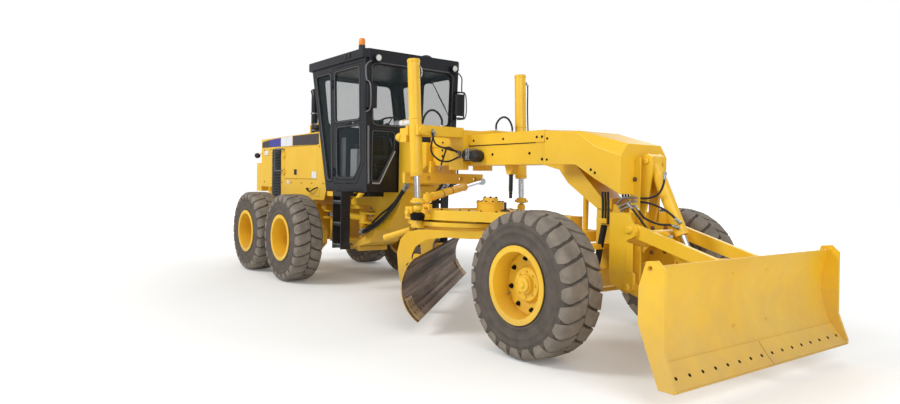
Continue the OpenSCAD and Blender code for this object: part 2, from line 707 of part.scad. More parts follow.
cab_tilt = atan((cab_half_high - cab_half_low) / (3300 - 1470));
cab_low_z = 1420;
cab_high_z = roof_top_z - roof_t;
rear_lean = 420 / 1830;
function rear_x(z) = -4930 - (z - 1470) * rear_lean;
module right_wall() translate([0, -cab_half_low, cab_low_z]) rotate([cab_tilt, 0, 0]) children();
module cab_body(inset) intersection() {
  upright([
    [-cab_front_back - inset, cab_low_z + inset], [-cab_front_back - inset, cab_high_z - inset],
    [rear_x(cab_high_z) + inset, cab_high_z - inset], [rear_x(cab_low_z) + inset, cab_low_z + inset]
  ], -900, 1800);
  right_wall() box([-6000, inset, -200], [-3000, 1900, 2200]);
  mirror([0, 1, 0]) right_wall() box([-6000, inset, -200], [-3000, 1900, 2200]);
}

// A hinge's pin axis lies just outside the panels; its middle knuckle is the door's.
hinge_r = 12;
hinge_out = hinge_r + 2;
knuckle_h = 60;
leaf_w = 45;
// Drawn with the pin axis at x = 0 and the panels' outer face at y = 0, the outside at -y
module hinge_part(z, h, leaf_way) {
  translate([0, -hinge_out, z]) cylinder(r = hinge_r, h = h);
  box([min(0, leaf_way * leaf_w), -hinge_out + 2, z], [max(0, leaf_way * leaf_w), -hinge_out + 8, z + h]);
  box([leaf_way * leaf_w - 15, -hinge_out + 7, z], [leaf_way * leaf_w + 15, 3, z + h]);
}
module door_knuckles(heights) for (z = heights) hinge_part(z, knuckle_h, 1);
module fixed_knuckles(heights) for (z = heights) {
  hinge_part(z - 30 - fit_gap, 30, -1);
  hinge_part(z + knuckle_h + fit_gap, 30, -1);
}
door_hinges = [250, 1550];

door_front = -cab_front_back - 60;
door_rear = -4650;
door_low = 1530 - cab_low_z;
door_high = cab_high_z - 45 - cab_low_z;
module door_outline(gap) polygon([
  [door_rear + gap, door_low + gap], [door_front - 230 - gap, door_low + gap],
  [door_front - gap, door_low + 300 + gap], [door_front - gap, door_high - gap],
  [door_rear + gap, door_high - gap]
]);
module upper_light() polygon([
  [-4600, 2419 - cab_low_z], [-3820, 2419 - cab_low_z], [-3820, 3190 - cab_low_z], [-4600, 3190 - cab_low_z]
]);
module lower_light() polygon([
  [-4560, 1600 - cab_low_z], [-4010, 1600 - cab_low_z], [-3820, 1830 - cab_low_z], [-3820, 2376 - cab_low_z],
  [-4560, 2376 - cab_low_z]
]);
module quarter_light() polygon([
  [-4700, 1560 - cab_low_z], [-4700, 3190 - cab_low_z], [rear_x(3190) + 90, 3190 - cab_low_z],
  [rear_x(1560) + 90, 1560 - cab_low_z]
]);
module front_light() polygon([[-690, 2340], [690, 2340], [715, 3225], [-715, 3225]]);
module knee_light() polygon([[-690, 1560], [-560, 1560], [-300, 2040], [-300, 2290], [-690, 2290]]);
module rear_light() polygon([[-640, 1000], [640, 1000], [640, 1820], [-640, 1820]]);
module wall_plate(t) translate([0, t, 0]) rotate([90, 0, 0]) linear_extrude(t) children();
module front_plate(x, t) translate([x, 0, 0]) rotate([90, 0, 90]) linear_extrude(t) children();
module rear_plate(depth, t) translate([rear_x(cab_low_z), 0, cab_low_z]) rotate([0, -atan(rear_lean), 0])
  translate([depth, 0, 0]) rotate([90, 0, 90]) linear_extrude(t) children();

module cab_shell() color(black) {
  both_sides() right_wall() translate([door_rear, 0, 0]) fixed_knuckles(door_hinges);
  cab_walls();
}
module cab_walls() difference() {
  cab_body(0);
  cab_body(cab_wall);
  both_sides() right_wall() translate([0, -5, 0]) wall_plate(cab_wall + 20) {
    door_outline(0);
    quarter_light();
  }
  front_plate(-cab_front_back - cab_wall - 10, cab_wall + 30) {
    front_light();
    knee_light();
    mirror([1, 0]) knee_light();
  }
  rear_plate(-20, cab_wall + 60) rear_light();
}

module cab_glass() color(glass) {
  both_sides() right_wall() translate([0, 15, 0]) wall_plate(8) quarter_light();
  front_plate(-cab_front_back - 25, 8) {
    front_light();
    knee_light();
    mirror([1, 0]) knee_light();
  }
  rear_plate(18, 8) rear_light();
}

module cab_door(side) color(black) on_left(-side) right_wall() {
  translate([door_rear, 0, 0]) door_knuckles(door_hinges);
  door_panel();
}
module door_panel() difference() {
  wall_plate(cab_wall - 5) door_outline(door_gap);
  translate([0, -5, 0]) wall_plate(cab_wall + 10) {
    upper_light();
    lower_light();
  }
}

module door_glass(side) color(glass) on_left(-side) right_wall() translate([0, 15, 0]) wall_plate(8) {
  upper_light();
  lower_light();
}

beacon_r = 46;
module cab_roof() color(black) {
  translate([0, 0, cab_high_z]) linear_extrude(roof_t) polygon([
    [-3618, -760], [-3690, -833], [-5400, -833], [-5446, -790], [-5446, 790], [-5400, 833], [-3690, 833],
    [-3618, 760]
  ]);
  box([-3658, -760, cab_high_z - 60], [-3618, 760, cab_high_z + 1]);
  // Flashing beacon over the right front corner
  translate([-3790, -785, roof_top_z - 1]) rotate_extrude() polygon([
    [0, 0], [beacon_r, 0], [beacon_r, 55], [beacon_r - 6, 60], [beacon_r - 6, 135], [beacon_r - 16, 152],
    [0, 156]
  ]);
}

module cab_interior() color(black) {
  // Seat on its base, and the steering column
  box([-4700, -200, cab_low_z + cab_wall], [-4350, 200, 1850]);
  box([-4780, -250, 1850], [-4280, 250, 1960]);
  box([-4860, -240, 1960], [-4760, 240, 2600]);
  box([-4000, -120, cab_low_z + cab_wall], [-3860, 120, 2200]);
  translate([-4000, 0, 2200]) rotate([0, -25, 0]) difference() {
    cylinder(r = 200, h = 30);
    translate([0, 0, -1]) cylinder(r = 170, h = 32);
  }
  translate([-4000, 0, 2200]) rotate([0, -25, 0]) translate([-20, -185, 2]) cube([40, 370, 26]);
  translate([-4000, 0, 2180]) rotate([0, -25, 0]) cylinder(r = 35, h = 40);
}

module ladders() color(black) both_sides() {
  for (x = [-4310, -4060]) box([x, 800, 600], [x + 20, 940, cab_low_z]);
  for (z = [620, 930, 1240]) box([-4295, 800, z], [-4055, 940, z + 35]);
  box([-4310, leg_half, cab_low_z - 70], [-4040, 940, cab_low_z]);
}

// A mirror hangs in a bent tube before each front post of the cab.
mirror_x = -cab_front_back + 86;
mirror_tube_r = 11;
mirror_in_y = 745;
mirror_out_y = 850;
mirror_ends_z = [2545, 2930];
module mirrors() color(black) both_sides() {
  for (z = mirror_ends_z) {
    bar([-cab_front_back, mirror_in_y, z], [mirror_x, mirror_in_y, z], mirror_tube_r);
    bar([mirror_x, mirror_in_y, z], [mirror_x, mirror_out_y, z], mirror_tube_r);
    for (y = [mirror_in_y, mirror_out_y]) translate([mirror_x, y, z]) sphere(mirror_tube_r + 2);
  }
  bar([mirror_x, mirror_out_y, mirror_ends_z[0]], [mirror_x, mirror_out_y, mirror_ends_z[1]], mirror_tube_r);
  translate([mirror_x, 0, mirror_ends_z[0] + 33]) linear_extrude(mirror_ends_z[1] - mirror_ends_z[0] - 65)
    polygon([[-30, 670], [-30, 845], [20, 845], [38, 825], [38, 690], [20, 670]]);
}

// Rear frame

nose_gap = 8;
// Clearance where one bolted piece of the rear frame seats on the next
seat_gap = 0.3;
rail_low_z = 1180;
rail_high_z = 1430;
rail_in = 300;
rail_out = 420;
rail_front = -5300;
rail_rear = -tail_back + 350;
// The upright web that joins the hitch plates and carries the front ends of the rails
web_rear = -5760;
web_front = -5600;

// The frame is bolted together from its hitch, two rails, the floor, the axle housing and the bumper.
module rear_frame() color(paint) {
  rear_hitch();
  rear_rails();
  box([-hood_end_back, -hood_half, rail_high_z + seat_gap], [-5200, hood_half, hood_low_z]);
  axle_housing();
  rear_bumper();
}

module rear_hitch() difference() {
  union() {
    for (z = [hitch_low_z + hitch_t + nose_gap, hitch_high_z - hitch_t - nose_gap])
      translate([0, 0, z]) linear_extrude(hitch_t) hull() {
        translate([-artic_back, 0]) circle(120);
        translate([web_front - 100, -leg_half]) square([100, 2 * leg_half]);
      }
    box([web_rear, -leg_half, hitch_low_z + hitch_t + nose_gap],
        [web_front, leg_half, hitch_high_z - nose_gap]);
    both_sides() for (z = [artic_rear.z - 40 - 30, artic_rear.z + 40])
      box([artic_rear.x - 160, 200, z], [artic_rear.x + 45, 425, z + 30]);
    box([web_rear, -rail_out, rail_low_z - 80], [web_front, rail_out, rail_low_z - seat_gap]);
  }
  translate([-artic_back, 0, 0]) cylinder(r = artic_pin_r + fit_gap, h = 2000);
}

module rear_rails() {
  both_sides() box([rail_rear, rail_in, rail_low_z], [rail_front, rail_out, rail_high_z]);
  box([web_rear, -rail_in - 1, 1220], [web_front, rail_in + 1, 1320]);
  box([rail_rear, -rail_in - 1, rail_low_z], [rail_rear + 200, rail_in + 1, rail_high_z]);
}

module axle_housing() {
  translate([-wheelbase, -480, wheel_z + 40]) rotate([-90, 0, 0]) cylinder(r = 170, h = 960);
  box([-wheelbase - 200, -rail_out, wheel_z + 40], [-wheelbase + 200, rail_out, rail_low_z - seat_gap]);
}

module rear_bumper() difference() {
  union() {
    box([-tail_back + 100, -560, 1340], [rail_rear - seat_gap, 560, 1880]);
    box([-tail_back, -150, rail_low_z], [-tail_back + 110, 150, 1420]);
  }
  translate([-tail_back + 50, 0, 1000]) cylinder(r = 25, h = 600);
}

hood_low_z = 1450;
module hood_side(inset) polygon([
  [-5190 - inset, 1450], [-5400 - inset, hood_top_z - inset], [-hood_end_back + inset, 2320 - inset],
  [-hood_end_back + inset, 1450]
]);
module hood_opening(gap) polygon([
  [-hood_door_rear + gap, 1584 + gap], [-hood_door_front - gap, 1584 + gap],
  [-hood_door_front - gap, 2150 - gap],
  [-hood_door_rear + gap, 2150 - gap]
]);
hood_hinges = [1680, 1980];
module right_hood_hinge_line() translate([-hood_door_rear, -hood_half, 0]) children();
module engine_hood() color(paint) {
  both_sides() right_hood_hinge_line() fixed_knuckles(hood_hinges);
  hood_sheet();
}
module hood_sheet() difference() {
  upright_solid(hood_half) hood_side(0);
  translate([0, 0, -1]) upright_solid(hood_half - hood_t) hood_side(hood_t);
  upright_solid(700) hood_opening(0);
}
module hood_door(side) color(paint) on_left(-side) {
  translate([0, -hood_half + hood_t, 0]) rotate([90, 0, 0]) linear_extrude(hood_t) hood_opening(door_gap);
  right_hood_hinge_line() door_knuckles(hood_hinges);
}

module engine_block() color(black) {
  box([-6900, -320, 1450], [-5700, 320, 2150]);
  box([-7700, -450, 1450], [-7350, 450, 2200]);
}

module tandem_cases() color(paint) both_sides() difference() {
  union() {
    upright([
      [-rear_axles[0] + 150, wheel_z - 100], [-rear_axles[0] + 150, wheel_z + 100],
      [-rear_axles[0], wheel_z + 190],
      [-wheelbase, wheel_z + 240], [-rear_axles[1], wheel_z + 190], [-rear_axles[1] - 150, wheel_z + 100],
      [-rear_axles[1] - 150, wheel_z - 100], [-rear_axles[1], wheel_z - 190], [-rear_axles[0], wheel_z - 190]
    ], 560, 230);
    translate([-wheelbase, 480, wheel_z + 40]) rotate([-90, 0, 0]) cylinder(r = 190, h = 90);
    for (x = rear_axles) {
      translate([-x, 780, wheel_z]) rotate([-90, 0, 0]) cylinder(r = 120, h = 100);
      translate([-x, 780, wheel_z]) rotate([-90, 0, 0]) cylinder(r = hub_bore_r - fit_gap, h = 240);
    }
  }
}

function hood_z(x) = hood_top_z - (-5400 - x) * (hood_top_z - 2320) / (hood_end_back - 5400);
stack_r = 55;
bend_r = 180;
module exhaust_stack() color(black) {
  translate([-6000, -450, hood_z(-6000 + 85) + fit_gap]) {
    cylinder(r = stack_r, h = 610);
    cylinder(r = 85, h = 20);
    // The tip bends backwards
    translate([-bend_r, 0, 609]) rotate([90, 0, 0]) rotate_extrude(angle = 40)
      translate([bend_r, 0]) circle(stack_r - 2);
  }
}

// Articulation cylinders lie beside the hitch
artic_r = 50;
artic_rod_r = 25;
artic_eye_h = 2 * artic_r + 10;
artic_front = [-4480, 320, 1020];
artic_rear = [-5500, 380, 1020];
artic_d = (artic_rear - artic_front) / norm(artic_rear - artic_front);
module artic_barrel(side) color(paint) on_left(side) difference() {
  union() {
    bar(artic_front, artic_front + artic_d * 560, artic_r);
    translate(artic_front - [0, 0, artic_eye_h / 2]) cylinder(r = 55, h = artic_eye_h);
  }
  bar(artic_front + artic_d * 100, artic_rear, artic_rod_r + fit_gap);
  translate(artic_front - [0, 0, 100]) cylinder(r = artic_rod_r + fit_gap, h = 200);
}
module artic_rod(side) color(chrome) on_left(side) {
  bar(artic_front + artic_d * 330, artic_rear, artic_rod_r);
  translate(artic_rear - [0, 0, 35]) cylinder(r = 45, h = 70);
}

from_axle() front_frame();
from_axle() gooseneck_cover();
from_axle() lift_saddle();
from_axle() front_axle();
from_axle() dozer_bracket();
from_axle() cab_shell();
from_axle() cab_roof();
from_axle() cab_glass();
from_axle() cab_interior();
from_axle() ladders();
from_axle() mirrors();
from_axle() cab_door(-1);  // cab_door_right
from_axle() cab_door(1);  // cab_door_left
from_axle() door_glass(-1);  // door_glass_right
from_axle() door_glass(1);  // door_glass_left
from_axle() rear_frame();
from_axle() engine_hood();
from_axle() engine_block();
from_axle() tandem_cases();
from_axle() exhaust_stack();
from_axle() hood_door(-1);  // hood_door_right
from_axle() hood_door(1);  // hood_door_left
from_axle() knuckle(-1);  // knuckle_right
from_axle() knuckle(1);  // knuckle_left
from_axle() tie_rod();
from_axle() tyre(0, -1);  // tyre_front_right
from_axle() tyre(0, 1);  // tyre_front_left
from_axle() rim(0, -1, front_disc, wheel_hub_r);  // rim_front_right
from_axle() rim(0, 1, front_disc, wheel_hub_r);  // rim_front_left
from_axle() tyre(rear_axles[0], -1);  // tyre_middle_right
from_axle() tyre(rear_axles[0], 1);  // tyre_middle_left
from_axle() rim(rear_axles[0], -1, rear_disc, wheel_hub_r);  // rim_middle_right
from_axle() rim(rear_axles[0], 1, rear_disc, wheel_hub_r);  // rim_middle_left
from_axle() tyre(rear_axles[1], -1);  // tyre_rear_right
from_axle() tyre(rear_axles[1], 1);  // tyre_rear_left
from_axle() rim(rear_axles[1], -1, rear_disc, wheel_hub_r);  // rim_rear_right
from_axle() rim(rear_axles[1], 1, rear_disc, wheel_hub_r);  // rim_rear_left
from_axle() artic_barrel(-1);  // artic_barrel_right
from_axle() artic_barrel(1);  // artic_barrel_left
from_axle() artic_rod(-1);  // artic_rod_right
from_axle() artic_rod(1);  // artic_rod_left
from_axle() drawbar_ball();
from_axle() drawbar();
from_axle() circle_frame();  // circle
from_axle() circle_gear();
from_axle() circle_pinion();
from_axle() tilt_frame();
from_axle() mouldboard();
from_axle() lift_barrel(-1);  // lift_barrel_right
from_axle() lift_barrel(1);  // lift_barrel_left
from_axle() lift_rod(-1);  // lift_rod_right
from_axle() lift_rod(1);  // lift_rod_left
from_axle() shift_yoke();
from_axle() shift_barrel();
from_axle() shift_rod();
from_axle() push_arms();
from_axle() push_links();
from_axle() front_blade();
from_axle() dozer_barrel();
from_axle() dozer_rod();
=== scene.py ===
# %% [markdown]
# # A motor grader
# This notebook dresses a packed motor grader. The frame, blade, cab and wheels come from the CAD model, which
# never moves or changes here. Each cell adds one finish or one kind of piece, and says why it is made that way.
# All lengths are metres in the machine's own frame: X points forward, Y to the driver's left and Z up.

import json
import math

import bmesh
import bpy
import numpy as np
from mathutils import Matrix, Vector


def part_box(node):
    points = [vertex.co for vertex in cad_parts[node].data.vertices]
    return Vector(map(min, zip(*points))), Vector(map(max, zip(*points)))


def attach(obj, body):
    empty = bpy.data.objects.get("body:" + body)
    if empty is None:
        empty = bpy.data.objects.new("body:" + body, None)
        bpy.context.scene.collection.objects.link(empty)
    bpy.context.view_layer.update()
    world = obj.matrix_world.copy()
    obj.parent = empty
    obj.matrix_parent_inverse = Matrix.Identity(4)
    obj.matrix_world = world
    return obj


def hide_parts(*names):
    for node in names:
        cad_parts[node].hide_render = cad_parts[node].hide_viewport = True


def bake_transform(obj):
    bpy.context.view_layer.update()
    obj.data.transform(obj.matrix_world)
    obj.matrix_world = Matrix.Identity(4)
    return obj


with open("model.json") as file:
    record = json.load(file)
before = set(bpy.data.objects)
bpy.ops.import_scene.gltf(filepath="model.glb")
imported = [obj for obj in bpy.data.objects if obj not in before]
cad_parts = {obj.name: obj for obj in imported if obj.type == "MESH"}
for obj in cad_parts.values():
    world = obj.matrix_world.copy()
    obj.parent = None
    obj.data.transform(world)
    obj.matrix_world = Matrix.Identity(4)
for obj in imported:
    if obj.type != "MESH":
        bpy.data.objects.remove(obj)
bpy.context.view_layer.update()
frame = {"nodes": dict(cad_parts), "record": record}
nodes = frame["nodes"]

# %% [markdown]
# Most sizes on this machine are known from the front axle backwards, so that axle is found first. A wheel's box
# is symmetrical about its axle, and its middle gives the axle's place, the tyre's radius and the track.

# %% Find the axles
def middle(node):
    """The middle of a CAD piece's box."""
    low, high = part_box(node)
    return (np.array(low) + np.array(high)) / 2


wheel_places = {name: middle(f"tyre_{name}") for name in (
    "front_right", "front_left", "middle_right", "middle_left", "rear_right", "rear_left")}
tyre_low, tyre_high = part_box("tyre_front_right")
tyre_radius = (tyre_high.z - tyre_low.z) / 2
tyre_half_width = (tyre_high.y - tyre_low.y) / 2
front_axle = wheel_places["front_right"][0]
middle_plane = (wheel_places["front_right"][1] + wheel_places["front_left"][1]) / 2


def from_axle(points):
    """Moves points that are measured from the front axle and the middle plane into the machine's frame."""
    return np.asarray(points, float) + np.array([front_axle, middle_plane, 0.0])


print("front axle at", round(front_axle, 3), "middle plane at", round(middle_plane, 3), "tyre radius",
      round(tyre_radius, 4))

# %% [markdown]
# ## Camera
# The photograph was taken from the right front corner, at eye height and with a wide lens. The camera's place
# and its three angles were measured from the wheels and blade in the photograph.

# %% Stand the camera where the photographer stood
photo_width = 900
photo_focal = 662.1
sensor_width = 36.0
camera_from_axle = [4.364, -5.289, 1.592]
camera_yaw = math.radians(-53.316)
camera_pitch = math.radians(-1.775)
camera_roll = math.radians(-1.104)


def camera_axes(yaw, pitch, roll):
    """Right, up and backwards of a camera: it turns by yaw from +Y, tips up by pitch and then rolls."""
    forward = np.array([math.sin(yaw), math.cos(yaw), 0])
    right = np.array([math.cos(yaw), -math.sin(yaw), 0])
    down = np.array([0, 0, -1])
    looking = math.cos(pitch) * forward - math.sin(pitch) * down
    tipped = math.cos(pitch) * down + math.sin(pitch) * forward
    rolled_right = math.cos(roll) * right + math.sin(roll) * tipped
    rolled_down = math.cos(roll) * tipped - math.sin(roll) * right
    return rolled_right, -rolled_down, -looking


camera_data = bpy.data.cameras.new("camera")
camera_data.sensor_width = sensor_width
camera_data.lens = sensor_width * photo_focal / photo_width
camera_data.clip_start = 0.05
camera_data.clip_end = 200
camera = bpy.data.objects.new("camera", camera_data)
bpy.context.scene.collection.objects.link(camera)
place = np.eye(4)
place[:3, :3] = np.column_stack(camera_axes(camera_yaw, camera_pitch, camera_roll))
place[:3, 3] = from_axle(camera_from_axle)
camera.matrix_world = Matrix(place.tolist())
bpy.context.scene.camera = camera
print("lens", round(camera_data.lens, 2), "mm")

# %% [markdown]
# ## Shapes from arrays
# A new piece is a surface on a grid: an outline is carried along a path, or turned round an axle. Whole arrays
# hold the points, and the faces come from the grid's own order, so no loop visits single points.

# %% Grids, tubes and turned shapes
def grid_faces(rows, columns, around=True):
    """Quads between neighbours of a grid of rows by columns. With around, the last column meets the first."""
    row = np.arange(rows - 1)[:, None]
    column = np.arange(columns if around else columns - 1)[None, :]
    beside = (column + 1) % columns
    corners = [row * columns + column, row * columns + beside,
               (row + 1) * columns + beside, (row + 1) * columns + column]
    return np.stack([np.broadcast_to(c, (rows - 1, column.size)) for c in corners], -1).reshape(-1, 4).tolist()


def shell(grid):
    """A closed skin: each row of the grid is a closed ring, and the first and last rings are filled."""
    rows, columns = grid.shape[:2]
    ends = [list(range(columns))[::-1], list(range((rows - 1) * columns, rows * columns))]
    return grid.reshape(-1, 3), grid_faces(rows, columns) + ends


def path_axes(path, up):
    """Tangent, side and rise at each point of a path. The rise leans towards up and is square to the path."""
    tangent = np.gradient(path, axis=0)
    tangent /= np.linalg.norm(tangent, axis=1)[:, None]
    side = np.cross(np.broadcast_to(up, path.shape), tangent)
    side /= np.linalg.norm(side, axis=1)[:, None]
    return tangent, side, np.cross(tangent, side)


def carried(outline, path, up):
    """Carries a closed outline along a path: point = path + outline x times side + outline y times rise."""
    path = np.asarray(path, float)
    outline = np.asarray(outline, float)
    _, side, rise = path_axes(path, np.asarray(up, float))
    return shell(path[:, None] + outline[None, :, 0, None] * side[:, None] + outline[None, :, 1, None] * rise[:, None])


def ring(radius, sides, start=0.0):
    """A regular outline: corners at equal angles on a circle."""
    angle = start + np.arange(sides) * 2 * np.pi / sides
    return np.column_stack([radius * np.cos(angle), radius * np.sin(angle)])


def turned(profile, centre, axis, steps=48):
    """Turns a profile of [radius, height] round an axis: point = centre + radius times spoke + height times axis."""
    profile = np.asarray(profile, float)
    axis = np.asarray(axis, float) / np.linalg.norm(axis)
    helper = np.array([0, 0, 1.0]) if abs(axis[2]) < 0.9 else np.array([1.0, 0, 0])
    first = np.cross(axis, helper)
    first /= np.linalg.norm(first)
    second = np.cross(axis, first)
    angle = np.arange(steps) * 2 * np.pi / steps
    spoke = np.cos(angle)[:, None] * first + np.sin(angle)[:, None] * second
    grid = np.asarray(centre, float) + profile[:, 0, None, None] * spoke + profile[:, 1, None, None] * axis
    return shell(grid)


def smooth_path(points, count):
    """A curve through given points: each coordinate is a cubic blend of four neighbours (Catmull-Rom)."""
    points = np.asarray(points, float)
    ends = np.vstack([2 * points[0] - points[1], points, 2 * points[-1] - points[-2]])
    at = np.linspace(0, len(points) - 1 - 1e-9, count)
    index = at.astype(int)
    t = (at - index)[:, None]
    a, b, c, d = (ends[index + k] for k in range(4))
    return 0.5 * (2 * b + (c - a) * t + (2 * a - 5 * b + 4 * c - d) * t**2 + (3 * b - a - 3 * c + d) * t**3)


def pipe(points, radius, sides=12, count=None):
    """A round tube along a path, smoothed first if a count is given. Its section leans towards the direction
    that the path runs in least, which a path never turns into."""
    path = np.asarray(points, float) if count is None else smooth_path(points, count)
    runs = np.diff(path, axis=0)
    runs /= np.linalg.norm(runs, axis=1)[:, None]
    return carried(ring(radius, sides), path, np.linalg.svd(runs)[2][-1])


def block(low, high):
    """A box between two corners, as its end outline carried from the lower to the upper end."""
    low, high = np.asarray(low, float), np.asarray(high, float)
    half = (high - low) / 2
    centre = (high + low) / 2
    outline = np.array([[-1, -1], [1, -1], [1, 1], [-1, 1]]) * half[:2]
    grid = np.array([[[centre[0] + x, centre[1] + y, z] for x, y in outline] for z in (low[2], high[2])])
    return shell(grid)


def together(surfaces):
    """Joins several skins into one list of points and one of faces."""
    points, faces, start = [], [], 0
    for skin_points, skin_faces in surfaces:
        points.append(np.asarray(skin_points, float))
        faces += [[start + corner for corner in face] for face in skin_faces]
        start += len(skin_points)
    return np.vstack(points), faces


def piece(name, surfaces, material, body, slot=None, bevel=0.0, replaces=(), sharp=35):
    """Makes one object of several skins, gives it its material and lets it move with a body. The slot is not used."""
    points, faces = together(surfaces)
    mesh = bpy.data.meshes.new(name)
    mesh.from_pydata(points.tolist(), [], faces)
    shape = bmesh.new()
    shape.from_mesh(mesh)
    bmesh.ops.recalc_face_normals(shape, faces=shape.faces)
    shape.to_mesh(mesh)
    shape.free()
    mesh.polygons.foreach_set("use_smooth", np.ones(len(mesh.polygons), bool))
    mesh.set_sharp_from_angle(angle=math.radians(sharp))
    made = bpy.data.objects.new(name, mesh)
    bpy.context.scene.collection.objects.link(made)
    mesh.materials.append(material)
    if bevel:
        rounding = made.modifiers.new("edges", "BEVEL")
        rounding.width = bevel
        rounding.segments = 2
        rounding.limit_method = "ANGLE"
        rounding.angle_limit = math.radians(40)
        rounding.harden_normals = True
    if body:
        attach(made, body)
    if replaces:
        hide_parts(*replaces)
    return made


# %% [markdown]
# ## Finishes
# Every finish is a small network of nodes. Colours are written as they look on a screen and turned to linear
# light by one function, and one more adds a node. A pattern's scale comes from its real size: a noise of scale 1
# has a feature about every metre, so a grain of five millimetres needs a scale of 200.

# %% One function for colours and one for nodes
def rgb(code):
    """Linear red, green, blue and alpha of a hex colour."""
    parts = [int(code[i:i + 2], 16) / 255 for i in (1, 3, 5)]
    return [p / 12.92 if p <= 0.04045 else ((p + 0.055) / 1.055)**2.4 for p in parts] + [1.0]


def feed(tree, node, sockets):
    """Fills a node's sockets: each takes a hex colour, a plain value, or the output that feeds it."""
    for name, value in sockets.items():
        if isinstance(value, bpy.types.NodeSocket):
            tree.links.new(value, node.inputs[name])
        else:
            node.inputs[name].default_value = rgb(value) if isinstance(value, str) else value


def add(tree, kind, sockets=None, out=0, **settings):
    """Adds a node with its settings and links, and gives one of its outputs."""
    made = tree.nodes.new("ShaderNode" + kind)
    for name, value in settings.items():
        setattr(made, name, value)
    feed(tree, made, sockets or {})
    return made.outputs[out]


def new_material(name):
    """An empty material with its tree, its shader and the object's own coordinates."""
    material = bpy.data.materials.new(name)
    material.use_nodes = True
    tree = material.node_tree
    return material, tree, tree.nodes["Principled BSDF"], add(tree, "TexCoord", out="Object")


# %% [markdown]
# Three patterns come back in most finishes. Clouds are a noise whose middle part is spread over a chosen range.
# A relief is a fine height pattern that tilts the light by a real depth. Dust is a share that falls with the
# height above the ground. A Bevel node rounds each sharp corner for the light by a few millimetres, as a cut and
# painted plate is.

# %% Clouds, relief and dust
dust_colour = "#a8977c"
edge_radius_mm = 5
bare_edge_radius_mm = 3


def speckle(place, size_mm, detail=4.0, roughness=0.55):
    """The sockets of a noise whose features are about this many millimetres wide."""
    return {"Vector": place, "Scale": 1000 / size_mm, "Detail": detail, "Roughness": roughness}


def clouds(tree, place, size_mm, low, high, to_low=0.0, to_high=1.0, detail=4.0, roughness=0.55):
    """A noise whose part between low and high is spread over a new range, and clipped beyond it."""
    value = add(tree, "TexNoise", speckle(place, size_mm, detail, roughness))
    return add(tree, "MapRange", {"Value": value, "From Min": low, "From Max": high, "To Min": to_low,
                                  "To Max": to_high})


def relief(height, depth_mm, strength, **under):
    """The sockets of a bump by a height pattern of a real depth, over another normal if there is one."""
    return {"Height": height, "Distance": depth_mm / 1000, "Strength": strength, **under}


def dusty(tree, place, top, most):
    """Share of dust: most at the ground and none above the height top, which 0.24 m patches make ragged."""
    height = add(tree, "SeparateXYZ", {"Vector": place}, "Z")
    ragged = add(tree, "TexNoise", speckle(place, 240, 6.0, 0.65))
    lowered = add(tree, "Math", {0: ragged, 1: 0.5}, operation="SUBTRACT")
    shifted = add(tree, "Math", {0: height, 1: lowered}, operation="SUBTRACT")
    return add(tree, "MapRange", {"Value": shifted, "From Max": top, "To Min": most, "To Max": 0.0})


# %% [markdown]
# ### Yellow enamel
# The plates and castings are sprayed with a two-pack enamel. It is even and fairly glossy, with a faint
# orange peel, and it dulls where dust sticks. The tone drifts a little over half a metre, so large plates
# don't look flat. Dust and grime gather low on a machine that works in earth.

# %% Sprayed enamel, yellow and black
def sprayed(name, colour, deep, dust_top, shine=0.34, dust_most=0.5):
    """Enamel: a tone that drifts, dust from below, an orange peel of about 3 mm, and rounded edges."""
    material, tree, shader, place = new_material(name)
    drift = clouds(tree, place, 600, 0.35, 0.65)
    tone = add(tree, "Mix", {0: drift, 6: colour, 7: deep}, 2, data_type="RGBA")
    dust = dusty(tree, place, dust_top, dust_most)
    smear = clouds(tree, place, 90, 0.3, 0.7, shine - 0.05, shine + 0.08, 5.0)
    edges = add(tree, "Bevel", {"Radius": edge_radius_mm / 1000}, samples=4)
    peel = add(tree, "TexNoise", speckle(place, 3, 2.0))
    feed(tree, shader, {"Base Color": add(tree, "Mix", {0: dust, 6: tone, 7: dust_colour}, 2, data_type="RGBA"),
                        "Roughness": add(tree, "Math", {0: dust, 1: 0.5, 2: smear}, operation="MULTIPLY_ADD"),
                        "IOR": 1.5, "Normal": add(tree, "Bump", relief(peel, 0.12, 0.25, Normal=edges))})
    return material


yellow_enamel = sprayed("yellow_enamel", "#efc133", "#eab826", 0.9)
wheel_enamel = sprayed("wheel_enamel", "#edc034", "#e2b028", 0.55, 0.4, 0.45)
black_enamel = sprayed("black_enamel", "#11141d", "#0d0f16", 0.8, 0.36, 0.2)

# %% [markdown]
# ### Tyre rubber
# Rubber with carbon black is dark and dull. On this machine the tread is greyed by dry earth and the sidewall
# is smoother and browner. The moulded skin has a grain of a millimetre or so, drawn at 4 mm so that it shows.

# %% Tyre rubber
def dusty_rubber(name, dark, light, grain_mm=4):
    """Rubber whose tone and dullness follow one cloudy pattern, with a fine moulded grain."""
    material, tree, shader, place = new_material(name)
    cloud = clouds(tree, place, 130, 0.35, 0.68, detail=6.0, roughness=0.6)
    grain = add(tree, "TexNoise", speckle(place, grain_mm, 3.0))
    feed(tree, shader, {"Base Color": add(tree, "Mix", {0: cloud, 6: dark, 7: light}, 2, data_type="RGBA"),
                        "Roughness": add(tree, "MapRange", {"Value": cloud, "To Min": 0.72, "To Max": 0.9}),
                        "IOR": 1.5, "Normal": add(tree, "Bump", relief(grain, 0.6, 0.5))})
    return material


sidewall_rubber = dusty_rubber("sidewall_rubber", "#48413b", "#60564d")
tread_rubber = dusty_rubber("tread_rubber", "#6e655b", "#8a8074")
hose_rubber = dusty_rubber("hose_rubber", "#17181a", "#26262a", 3)
seal_rubber = dusty_rubber("seal_rubber", "#111214", "#1b1c1f", 3)

